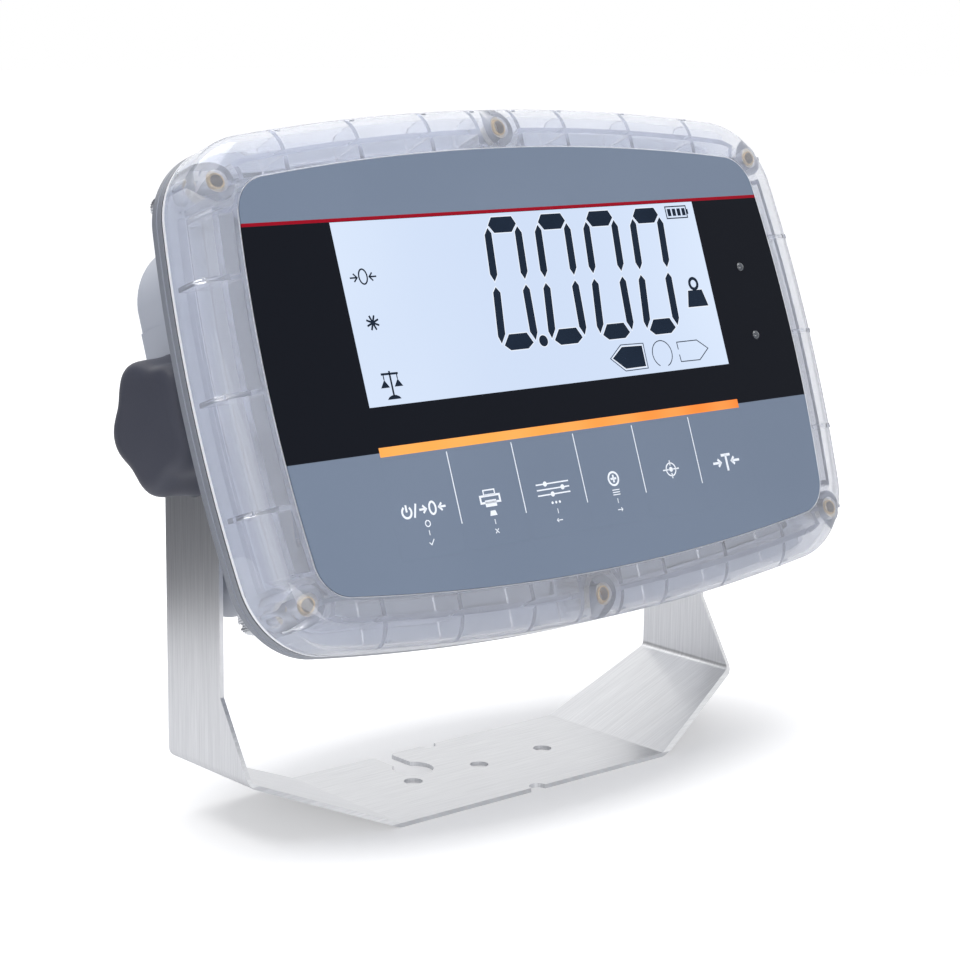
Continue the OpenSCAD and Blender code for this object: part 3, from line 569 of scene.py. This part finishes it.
# Boss inserts: six turned brass bushes with two straight-knurled bands, pressed into the clear bosses from
# behind. They show through the moulding as bright rings.
def bush(place):
    """A brass bush: a chamfered front, two knurled bands with a groove between them, and a bore."""
    steps, tooth = 96, 0.18
    rows = [
        (2.0, 3.66, 0), (2.05, 3.62, 0), (2.35, 3.62, 0), (2.42, 3.7, 0), (2.42, 4.7, 0), (3.3, 5.0, 1),
        (3.3, 7.4, 1), (3.05, 7.5, 0), (3.05, 8.7, 0), (3.3, 8.8, 1), (3.3, 12.1, 1), (3.05, 12.3, 0),
        (2.9, 12.6, 0), (2.0, 12.6, 0), (2.0, 4.0, 0),
    ]
    rings = []
    for radius, depth, knurl in rows:
        turn = []
        for i in range(steps):
            a = math.tau * i / steps
            r = radius + knurl * (tooth if i % 4 < 2 else 0)
            turn.append((place[0] + r * math.cos(a), depth, place[1] + r * math.sin(a)))
        rings.append(turn)
    return loft(rings, closed=True)


# Turned brass: bright and yellow on the front ring, with painted light on the knurl and painted shade in the
# bore.
bright_brass = turned("bright_turned_brass", "#bd9a60", "#e6cb92", 0.2, 0.5)
# The knurl is painted paler and dull, standing for light scattered in the plastic in front of it.
pale_knurl_brass = turned("knurled_brass_painted_pale", "#bdb4a2", "#d6cdbb", 0.45, 0.4)
# The bore is painted dark brown: painted shade in the hole.
bore_shade_brass = turned("brass_bore_painted_shade", "#3f2a12", "#6e4d22", 0.35, 0.4)
bore_r, ring_back = 2.02, 4.6
bushes = together([bush(p) for p in screw_places])
for face in bushes.faces:
    x, d, z = face.calc_center_median()
    far = min(math.hypot(x - px, z - pz) for px, pz in screw_places)
    face.material_index = 2 if far < bore_r else 1 if d > ring_back else 0
inserts = settle("brass_bushes", bushes, [bright_brass, pale_knurl_brass, bore_shade_brass], "head")
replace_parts(inserts, "housing_inserts")


# Display module and main board: a glass display in a black bezel over its light guide, on a board with
# chips, LEDs for the status bar, two sensors and two rows of terminals. Four screws hold the board on bosses
# of the clear housing.
# Float glass: smooth and glossy. Light guide: white acrylic that glows a little. LED packages: plain white.
float_glass, tree = new_finish("polished_float_glass")
pane = add(tree, "BsdfPrincipled", {
    "Base Color": mix(tree, noise(tree, 20, 1), "#b9c6d2", "#c6d3df"), "Roughness": 0.05, "IOR": 1.52,
})
show(tree, pane)
light_guide, tree = new_finish("lit_acrylic_light_guide")
place = add(tree, "TexCoord")
dots = add(tree, "TexVoronoi", {"Vector": place.outputs["Object"], "Scale": 700.0})
guide = add(tree, "BsdfPrincipled", {
    "Base Color": mix(tree, dots.outputs["Distance"], "#f2f6fb", "#dfe7f2"), "Roughness": 0.3, "IOR": 1.49,
    "Emission Color": linear("#e6f0ff"), "Emission Strength": 0.4,
})
show(tree, guide)
led_white = moulded("moulded_white_polyamide", "#e4e5e6", "#eeeff0", 0.35, 0.4, 0.006)
black_pc = moulded("moulded_black_polycarbonate", "#16171a", "#1c1d21", 0.38, 0.5, 0.008)
terminal_green = moulded("moulded_green_polyamide", "#2f7f45", "#378c4e", 0.38, 0.5, 0.008)
dress(float_glass, "lcd_glass")
dress(light_guide, "lcd_backlight")
dress(black_pc, "lcd_bezel", "board_chips", "proximity_sensors")
dress(green_board, "main_board")
dress(led_white, "bar_leds")
dress(terminal_green, "terminal_blocks")
dress(zinc_plate, "board_screws")


# Keypad: a printed switch circuit under the face, a nickel-plated snap dome under each key, and a flat tail
# to the board.
# Silver ink on polyester: a dull dark grey. Polyimide: an amber-brown film. Snap domes: bright nickel plate.
circuit_film = moulded("printed_silver_on_polyester", "#3a4048", "#464d56", 0.4, 0.8, 0.006)
polyimide = moulded("etched_polyimide_tail", "#a8631f", "#b87228", 0.3, 0.9, 0.006)
nickel_domes = turned("nickel_plated_spring_steel", "#c2beb4", "#dedbd2", 0.2, 0.4)
dress(circuit_film, "keypad_circuit")
dress(polyimide, "keypad_tail")
dress(nickel_domes, "key_domes")


# Face: one polyester film in the recess of the clear housing, printed from behind in grey above and below,
# and in black beside the display, with a red line between them. Its surface is finely textured.
def film(name, dark, light, roughness, specular=0.2):
    """Printed polyester: an even ink under a finely embossed film. The 0.15 mm texture is drawn at 0.6 mm."""
    made, tree = new_finish(name)
    emboss = noise(tree, 1700, 1)
    ink = add(tree, "BsdfPrincipled", {
        "Base Color": mix(tree, noise(tree, 12, 1), dark, light),
        "Roughness": between(tree, emboss, roughness - 0.05, roughness + 0.05),
        "IOR": 1.55,
        "Specular IOR Level": specular,
        "Normal": relief(tree, emboss, 0.3, 0.00002),
    })
    show(tree, ink)
    return made


grey_film = film("screen_printed_polyester_grey", "#6d7a8d", "#778497", 0.5)
black_film = film("screen_printed_polyester_black", "#0f121a", "#12151d", 0.42, 0.05)
red_film = film("screen_printed_polyester_red", "#920a1f", "#9a0c22", 0.45, 0.06)


def rounded(centre, width, height, radius):
    x, z, w, h = centre[0], centre[1], width / 2 - radius, height / 2 - radius
    return (
        arc((x + w, z + h), radius, 0, 90, 8) + arc((x - w, z + h), radius, 90, 180, 8)
        + arc((x - w, z - h), radius, 180, 270, 8) + arc((x + w, z - h), radius, 270, 360, 8)
    )


film_front, film_back, film_inset = 0.1, 0.7, 15.5
window_low, window_high = -9.3, 49.7
key_pitch, key_z, key_w, key_h, key_r, key_gap = 27, -42, 26, 32, 1.5, 0.03
black_low, red_low, red_high = -23.6, 49.8, 50.9
key_x = [(i - 2.5) * key_pitch for i in range(6)]
ends = -over, 2 * over
openings = [prism(rectangle(-window_half, window_half, window_low, window_high), *ends)]
openings.append(prism(rectangle(-window_half, window_half, bar_low, bar_high), *ends))
openings += drums(sensor_places, *ends, sensor_r, 32)
openings += [prism(rounded((x, key_z), key_w, key_h, key_r), *ends) for x in key_x]
sheet = shaped(prism(rim(film_inset), film_front, film_back), together(openings), "DIFFERENCE")
for z in (black_low, red_low, red_high):
    everything = sheet.verts[:] + sheet.edges[:] + sheet.faces[:]
    bmesh.ops.bisect_plane(sheet, geom=everything, plane_co=(0, 0, z), plane_no=(0, 0, 1))
for face in sheet.faces:
    z = face.calc_center_median().z
    face.material_index = 1 if black_low < z < red_low else 2 if red_low < z < red_high else 0
overlay = settle("printed_face", sheet, [grey_film, black_film, red_film], "head")
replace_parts(overlay, "overlay")


# Display window: the clear part of the face with the lit display behind it, seen as one pale blue pane. Its
# digits and signs are dark liquid crystal, and the large ones have a thin bright edge. They stand 0.04 mm
# proud here so that they show on the pane.
def reckon(tree, how, *values):
    """A number worked out from others by one of the math node's operations."""
    return add(tree, "Math", dict(enumerate(values)), operation=how).outputs[0]


def lit_from_behind(tree, colour, roughness):
    """A smooth dark pane with light of a colour behind it."""
    return add(tree, "BsdfPrincipled", {
        "Base Color": linear("#20242b"), "Roughness": roughness, "IOR": 1.5, "Emission Color": colour,
        "Emission Strength": 0.98,
    })


# Lit window: smooth, and a little brighter towards its left and right ends.
pane_gap, pane_back = 0.04, 2
pane_half, pane_low, pane_high = window_half - pane_gap, window_low + pane_gap, window_high - pane_gap
lit_window, tree = new_finish("lit_display_window")
place = add(tree, "TexCoord")
inner = add(tree, "SeparateXYZ", {"Vector": place.outputs["Object"]})
from_middle = reckon(tree, "DIVIDE", inner.outputs["X"], pane_half / 1000)
glow = reckon(tree, "MULTIPLY", reckon(tree, "POWER", from_middle, 2.0), noise(tree, 14, 1))
show(tree, lit_from_behind(tree, mix(tree, glow, "#cbdaf2", "#dce9fb"), 0.12))
pane = prism(rectangle(-pane_half, pane_half, pane_low, pane_high), film_front, pane_back)
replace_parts(settle("lit_pane", pane, [lit_window], "head"), "window_pane")

# Liquid crystal: a blue-black with hardly any shine, over the light that shows round its edges.
dark_crystal, tree = new_finish("switched_liquid_crystal")
crystal = add(tree, "BsdfPrincipled", {
    "Base Color": mix(tree, noise(tree, 90, 2), "#172231", "#202c3d"), "Roughness": 0.2, "IOR": 1.5,
    "Specular IOR Level": 0.04,
})
show(tree, crystal)
bright_edge, tree = new_finish("lit_segment_edge")
show(tree, lit_from_behind(tree, mix(tree, noise(tree, 90, 2), "#e6f0ff", "#f4f8ff"), 0.2))
ink_front, edge_front, ink_back = 0.06, 0.08, 0.2


def beside(points, by, closed):
    """A path moved sideways, with mitred corners."""
    out, count = [], len(points)
    for i in range(count):
        normals = []
        for a, b in ((i - 1, i), (i, i + 1)):
            if closed or 0 <= a < b < count:
                dx, dz = points[b % count][0] - points[a][0], points[b % count][1] - points[a][1]
                size = math.hypot(dx, dz)
                normals.append(Vector((-dz / size, dx / size)))
        mitre = sum(normals, Vector((0, 0))).normalized()
        out.append(tuple(Vector(points[i]) + mitre * by / max(mitre.dot(normals[0]), 0.3)))
    return out


def inked(outline, front=ink_front):
    """A filled print, from its front face back into the film."""
    return prism(outline, front, ink_back)


def stroke(points, width, closed=False):
    """A printed line of even width along a path."""
    one, two = beside(points, width / 2, closed), beside(points, -width / 2, closed)
    if not closed:
        return inked(one + two[::-1])
    return loft([at(one, ink_front), at(one, ink_back), at(two, ink_back), at(two, ink_front)], closed=True)


def ellipse(centre, wide, high, steps):
    turns = [math.tau * i / steps for i in range(steps)]
    return [(centre[0] + wide * math.cos(a), centre[1] + high * math.sin(a)) for a in turns]


def arrow(tail, tip, z, reach, width):
    """A small arrow along x: its line and its open head."""
    back = -reach if tip > tail else reach
    head = [(tip + back, z + reach), (tip, z), (tip + back, z - reach)]
    return [stroke([(tail, z), (tip + back * 0.15, z)], width), stroke(head, width)]


def star(centre, arms, length, arm_half_w, notch):
    """The outline of a star of straight arms, with notches between them at a distance from its centre."""
    points = []
    for i in range(arms):
        a, b = math.tau * (i + 0.5) / arms, math.tau * (i + 1) / arms
        tip = Vector(centre) + Vector((math.cos(a), math.sin(a))) * length
        side = Vector((-math.sin(a), math.cos(a))) * arm_half_w
        points += [tuple(tip - side), tuple(tip + side)]
        points.append((centre[0] + notch * math.cos(b), centre[1] + notch * math.sin(b)))
    return points


# A digit's six segments, about its middle line and before it leans to the right as digits do. The dot, the
# filled pointer and the weight get the same bright edge.
digit_lean, digit_mid_z, first_digit_x, digit_pitch = 0.1, 26, -12.1, 22.03
segments = [
    [(-4.4, 48.3), (4.4, 48.3), (6.1, 45.7), (3.8, 43), (-3.8, 43), (-6.1, 45.7)],
    [(-6.5, 44.8), (-5.1, 43), (-5.1, 29.1), (-6.6, 26.9), (-8.2, 29.4), (-8.1, 42.5)],
    [(6.5, 44.8), (8.1, 42.5), (8.2, 29.4), (6.6, 26.9), (5.1, 29.1), (5.1, 43)],
    [(-6.6, 25), (-4.9, 23.1), (-5.4, 9.3), (-7.4, 6.3), (-8.6, 8.8), (-8.0, 23.3)],
    [(6.6, 25), (8.0, 23.3), (8.6, 8.8), (7.4, 6.3), (5.4, 9.3), (4.9, 23.1)],
    [(-3.9, 9.1), (3.9, 9.1), (6.3, 5.6), (3.8, 3.8), (-3.8, 3.8), (-6.3, 5.6)],
]
shapes = []
for k in range(4):
    middle = first_digit_x + digit_pitch * k
    shapes += [[(middle + x + digit_lean * (z - digit_mid_z), z) for x, z in points] for points in segments]
shapes.append(circle((-3.4, 5.8), 1.9, 32))
shapes.append([(25.6, -2.7), (30.8, 0.85), (40.2, 0.6), (40.1, -6.6), (30.6, -6.7)])
shapes.append([(66.6, 12.1), (76.6, 12.1), (75.0, 18.0), (68.2, 18.0)])
bright_edge_w = 0.28
halos = []
for points in shapes:
    area = sum(a[0] * b[1] - b[0] * a[1] for a, b in zip(points, points[1:] + points[:1]))
    halos.append(inked(beside(points, -bright_edge_w if area > 0 else bright_edge_w, True), edge_front))

# The small signs: zero between two arrows, a star and a pair of scales at the left; a battery, the filled
# pointer's outline, a broken ring, an open pointer and the weight's ring at the right.
signs = [inked(points) for points in shapes]
signs += arrow(-76.8, -74.0, 31.7, 1.3, 0.5) + arrow(-66.4, -69.2, 31.7, 1.3, 0.5)
signs += [
    stroke(ellipse((-71.6, 31.9), 1.6, 2.4, 32), 0.5, closed=True),
    inked(star((-71.7, 17.1), 8, 2.5, 0.31, 0.86)),
    stroke([(-73.0, 0.66), (-66.3, 0.56)], 0.7),
    stroke([(-69.6, 1.5), (-69.6, -6.6)], 0.65),
    inked([(-72.2, -1.2), (-74, -3.7), (-70.5, -3.7)]),
    inked([(-66.9, -1.2), (-68.6, -3.6), (-65.2, -3.6)]),
    inked([(-72.3, -7.5), (-66.9, -7.5), (-67.6, -6.7), (-68.8, -6.2), (-70.4, -6.2), (-71.6, -6.7)]),
    stroke([(-72.2, 0.6), (-72.2, -1.2)], 0.35),
    stroke([(-66.9, 0.5), (-66.9, -1.2)], 0.35),
    stroke(rectangle(66.2, 76.3, 44.1, 48.3), 0.4, closed=True),
    inked(rectangle(76.5, 77.1, 45.3, 47.1)),
    stroke([(24.5, -2.7), (30.5, 1.6), (41.0, 1.35), (40.9, -7.35), (30.3, -7.45)], 0.28, closed=True),
    stroke(arc((49, -3), 4.6, -70, 250, 40), 0.32),
    stroke([
        (57.05, -4.0), (57.2, -6.5), (66.4, -6.6), (71.5, -2.9), (66.8, 0.4), (57, 0.4), (57.05, -2.2),
    ], 0.32),
    stroke(circle((71.6, 20.3), 1.9, 32), 1.1, closed=True),
]
signs += [inked(rectangle(x, x + 1.6, 44.9, 47.5)) for x in (67.0, 69.35, 71.7, 74.05)]
settle("display_signs", together(signs), [dark_crystal], "head")
settle("display_edges", together(halos), [bright_edge], "head")


# Keys: six pads of the same film, free to move over their domes. Each carries plain pictograms in white ink,
# and thin white lines on the film part the keys. The ink is bright and even under the film's soft sheen.
white_ink = film("screen_printed_white_ink", "#ecf1f9", "#f4f8fd", 0.45)
sign_z = -42.7
sliders, slider_r, slider_front = ((-16.6, -40.9), (-9.4, sign_z), (-14.2, -44.5)), 0.85, 0.04
switch_and_zero = [
    stroke(arc((-74.6, -42.9), 1.8, 120, 420, 28), 0.72),
    stroke([(-74.6, -40.6), (-74.6, -42.9)], 0.72),
    stroke([(-71.9, -44.9), (-70.6, -40.6)], 0.68),
    *arrow(-69.6, -66.9, sign_z, 1.2, 0.68),
    *arrow(-59.0, -61.7, sign_z, 1.2, 0.68),
    stroke(ellipse((-64.3, sign_z), 1.25, 1.95, 28), 0.68, closed=True),
]
printer = [
    stroke(rectangle(-44.6, -36.6, -43.9, -41.7), 0.68, closed=True),
    stroke(rectangle(-42.9, -38.3, -41.4, -39.9), 0.45, closed=True),
    inked(rectangle(-42.9, -38.3, -45.3, -43.1)),
]
settings = [stroke([(-20.6, z), (-6.4, z)], 0.45) for _, z in sliders]
settings += [inked(circle(slider, slider_r, 20), slider_front) for slider in sliders]
plus = [
    stroke(circle((13.6, sign_z), 2.2, 36), 0.68, closed=True),
    stroke([(12.3, sign_z), (14.9, sign_z)], 0.72),
    stroke([(13.6, -41.4), (13.6, -44.0)], 0.72),
]
target = [stroke(circle((40.7, sign_z), 2.2, 36), 0.45, closed=True)]
target.append(inked(circle((40.7, sign_z), 0.85, 20)))
target += [stroke([(x, sign_z), (x + 2.7, sign_z)], 0.45) for x in (36.9, 41.8)]
target += [stroke([(40.7, z), (40.7, z - 1.8)], 0.45) for z in (-39.6, -44.0)]
tare = arrow(61.2, 65.0, -43.2, 1.3, 0.85) + arrow(74.2, 70.4, -43.0, 1.3, 0.85)
tare += [stroke([(65.7, -40.7), (70.1, -40.7)], 0.95), stroke([(67.9, -40.7), (67.9, -46.3)], 0.95)]

# Four keys have a second job, shown by two small signs below the first, with a short line between them.
ring_and_tick = [
    stroke(circle((-67.4, -47.3), 0.95, 24), 0.35, closed=True),
    stroke([(-68.4, -53.2), (-67.6, -54.0), (-66.3, -52.3)], 0.3),
]
wedge_and_cross = [
    inked([(-42.0, -48.2), (-39.0, -48.2), (-39.5, -46.6), (-41.5, -46.6)]),
    stroke([(-41.2, -52.5), (-39.8, -53.9)], 0.3),
    stroke([(-39.8, -52.5), (-41.2, -53.9)], 0.3),
]
dots_and_arrow = [inked(circle((-13.5 + x, -47.3), 0.45, 16)) for x in (-1.6, 0, 1.6)]
dots_and_arrow += arrow(-12.3, -14.7, -53.2, 0.6, 0.3)
bars_and_arrow = [stroke([(12.0, z), (15.2, z)], 0.32) for z in (-46.5, -47.3, -48.1)]
bars_and_arrow += arrow(12.6, 14.8, -53.2, 0.6, 0.3)
key_signs = [switch_and_zero, printer, settings, plus, target, tare]
small_signs = [ring_and_tick, wedge_and_cross, dots_and_arrow, bars_and_arrow, [], []]
for i, x in enumerate(key_x):
    key = f"key_{i + 1}"
    pad = prism(rounded((x, key_z), key_w - key_gap, key_h - key_gap, key_r), film_front, film_back)
    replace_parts(settle(f"key_pad_{i + 1}", pad, [grey_film], key), key)
    marks = key_signs[i] + small_signs[i]
    if small_signs[i]:
        marks.append(stroke([(x, -49.4), (x, -51.0)], 0.28))
    settle(f"key_signs_{i + 1}", together(marks), [white_ink], key)
line_w, line_low, line_high = 0.36, -49.1, -25.9
between_keys = [x + key_pitch / 2 for x in key_x[:-1]]
parting = [inked(rectangle(x - line_w / 2, x + line_w / 2, line_low, line_high)) for x in between_keys]
settle("parting_lines", together(parting), [white_ink], "head")


# Status bar: an orange acrylic rod set flush in the face, lit from behind by seven LEDs that show as slightly
# brighter spots 24 mm apart.
led_pitch = 0.024
lit_orange, tree = new_finish("lit_orange_acrylic")
place = add(tree, "TexCoord")
inner = add(tree, "SeparateXYZ", {"Vector": place.outputs["Object"]})
wave = reckon(tree, "COSINE", reckon(tree, "MULTIPLY", inner.outputs["X"], math.tau / led_pitch))
hue = mix(tree, between(tree, inner.outputs["X"], 0.0, 1.0, -0.03, 0.08), "#feb358", "#fa8230")
bar = add(tree, "BsdfPrincipled", {
    "Base Color": linear("#7a3a10"), "Roughness": 0.2, "IOR": 1.49, "Specular IOR Level": 0.15,
    "Emission Color": mix(tree, between(tree, wave, 0.0, 0.3, -1.0), hue, "#ffbe6e"),
    "Emission Strength": 0.9,
})
show(tree, bar)
dress(lit_orange, "light_bar")


# Sensors: two small acrylic lenses, which stand proud of the black print. They are clear, and look dark and
# glossy over the dark sensors behind them.
lens, tree = new_finish("polished_acrylic_lens")
dome = add(tree, "BsdfPrincipled", {
    "Base Color": linear("#2c333e"), "Roughness": 0.05, "IOR": 1.49, "Coat Weight": 1.0,
    "Coat Roughness": 0.03, "Normal": relief(tree, noise(tree, 800, 1), 0.2, 0.00005),
})
show(tree, dome)
dress(lens, "sensor_lenses")


# Closing screws: six stainless thumb screws with a knurled grip and a screwdriver slot, driven from behind
# through the rim. Turned stainless steel is pale, with a satin shine.
turned_steel = turned("turned_stainless_steel", "#d3d5da", "#eceef2", 0.42, 0.6)
dress(turned_steel, "housing_screws")


# Knobs: two five-lobed clamping knobs moulded in charcoal plastic over steel studs, which screw into the
# brass inserts. The side next to the arm is hollow round a hub.
# Charcoal nylon: a dark bluish grey with little shine. The mould's fine grain is drawn at 0.6 mm.
charcoal = moulded("moulded_charcoal_nylon", "#3f414c", "#4a4c57", 0.46, 0.6, 0.03, 0.25)
knob_x, knob_l, knob_r, lobe_h, lobes, around = 110.7, 17, 21.1, 1.7, 5, 160
hub_and_hollow = [(12, 4.02), (0, 4.02), (0, 8.5), (6, 8.5), (6, 16), (0, 16)]
sweep = [
    (0, 1.05), (0.03, 1.046), (0.1, 1.03), (0.2, 1.015), (0.32, 1.005), (0.45, 1), (0.6, 0.995),
    (0.72, 0.985), (0.8, 0.97), (0.87, 0.945), (0.92, 0.912), (0.955, 0.868), (0.978, 0.82), (0.992, 0.765),
    (1, 0.7),
]
for name, side in (("left", -1), ("right", 1)):
    rings = []
    for far, radius in hub_and_hollow:
        rings.append([(side * (knob_x + far), -y, z) for y, z in circle((0, 0), radius, around)])
    for along, share in sweep:
        ring = []
        for i in range(around):
            a = math.tau * i / around
            r = share * (knob_r + lobe_h * math.cos(lobes * (a - math.pi)))
            ring.append((side * (knob_x + along * knob_l), -r * math.cos(a), r * math.sin(a)))
        rings.append(ring)
    knob = loft(rings)
    made = settle(f"clamping_knob_{name}", knob, [charcoal], f"knob_{name}", PIVOT, 40)
    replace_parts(made, f"knob_{name}")
dress(zinc_plate, "stud_left", "stud_right")


# Floor, backdrop and lamps: a white bench and a white cove, lit by two soft lamps and a low card. The paper
# glows outside an oval round the object, so that it looks white in the picture and keeps the object's
# shadow, and mirror-like surfaces see less of that glow.
def seen_directly(tree):
    """1 for what the camera sees, also in a mirror-like surface or through a clear one, and 0 otherwise."""
    rays = add(tree, "LightPath")
    seen = reckon(tree, "MAXIMUM", rays.outputs["Is Camera Ray"], rays.outputs["Is Glossy Ray"])
    return reckon(tree, "MAXIMUM", seen, rays.outputs["Is Transmission Ray"])


def card(name, corners, finish):
    """A flat sheet of the stage, through four corners."""
    mesh = bpy.data.meshes.new(name)
    mesh.from_pydata(corners, [], [(0, 1, 2, 3)])
    mesh.materials.append(finish)
    made = placed(name, mesh)
    return made


oval_shape, mirrored_glow = (1.0, 2.1, 0.0), 0.16
matt_paper, tree = new_finish("matt_white_paper")
rays = add(tree, "LightPath")
place = add(tree, "TexCoord")
oval = add(tree, "VectorMath", {0: place.outputs["Object"], 1: oval_shape}, operation="MULTIPLY")
far = add(tree, "VectorMath", {0: oval.outputs[0]}, operation="LENGTH")
spread = between(tree, far.outputs["Value"], 0.3, 0.66, 0.1, 0.17)
dim = reckon(tree, "MINIMUM", spread, mirrored_glow)
strength = add(tree, "Mix", {0: rays.outputs["Is Glossy Ray"], 2: spread, 3: dim})
lit = add(tree, "Emission", {"Color": linear("#ffffff"), "Strength": strength.outputs[0]})
paper = add(tree, "BsdfDiffuse", {"Color": linear("#dfdfdf")})
glow = add(tree, "AddShader", {0: lit.outputs[0], 1: paper.outputs[0]})
white = add(tree, "BsdfDiffuse", {"Color": linear("#ffffff")})
show(tree, blended(tree, seen_directly(tree), white, glow))
floor_half, floor_z = 9, -0.0001
floor_corners = [(x, y, 0) for x, y in rectangle(-floor_half, floor_half, -floor_half, floor_half)]
card("floor", floor_corners, matt_paper).location.z = floor_z

world = bpy.data.worlds.new("white_cove")
bpy.context.scene.world = world
world.use_nodes = True
world.node_tree.nodes.clear()
tree = world.node_tree
fill = add(tree, "Background", {"Color": linear("#f9faff"), "Strength": 0.57})
shown = add(tree, "Background", {"Color": linear("#ffffff"), "Strength": 1.0})
show(tree, blended(tree, seen_directly(tree), fill, shown), "World")


def lamp(name, place, aim, size, power):
    """A square soft lamp in metres and watts, turned towards a point."""
    data = bpy.data.lights.new(name, "AREA")
    data.size = size
    data.energy = power
    made = placed(name, data)
    made.location = place
    made.rotation_mode = "QUATERNION"
    made.rotation_quaternion = (Vector(aim) - Vector(place)).to_track_quat("-Z", "Y")


lamp("top_softbox", (-0.25, 0.1, 1.3), (0, 0, 0.1), 1.1, 10)
lamp("left_softbox", (-0.85, -0.95, 0.25), (0, 0, 0.12), 0.9, 2.8)
lamp("front_card", (-0.1, -0.9, 0.04), (0, 0, 0.12), 0.5, 2.6)

# A dark flag stands behind the object on the left. It is seen only in reflections, and keeps the steel and
# the left side from glare.
black_cloth, tree = new_finish("black_velvet")
cloth = add(tree, "BsdfDiffuse", {"Color": mix(tree, noise(tree, 300, 2), "#525357", "#5c5d61")})
show(tree, cloth)
flag_corners = [(-0.42, 0.10, 0), (-0.16, 0.32, 0), (-0.16, 0.32, 0.5), (-0.42, 0.10, 0.5)]
flag = card("flag", flag_corners, black_cloth)
flag.visible_camera = False
flag.visible_transmission = False
flag.visible_diffuse = False
flag.visible_shadow = False

# Camera: where the photograph was taken from, found from the bracket's holes and the corners of the face.
camera_place, camera_roll, focal_length = Vector((-0.52376, -0.60146, 0.25923)), -0.70, 88.62
camera_data = bpy.data.cameras.new("camera")
camera_data.sensor_width = 36
camera_data.lens = focal_length
camera = placed("camera", camera_data)
forward = Vector((0.64364, 0.74094, -0.19167)).normalized()
level = forward.cross(Vector((0, 0, 1))).normalized()
right = Matrix.Rotation(math.radians(camera_roll), 3, forward) @ level
axes = Matrix((right, right.cross(forward), -forward)).transposed()
camera.matrix_world = Matrix.Translation(camera_place) @ axes.to_4x4()
bpy.context.scene.camera = camera
bpy.context.scene.view_settings.view_transform = "Standard"
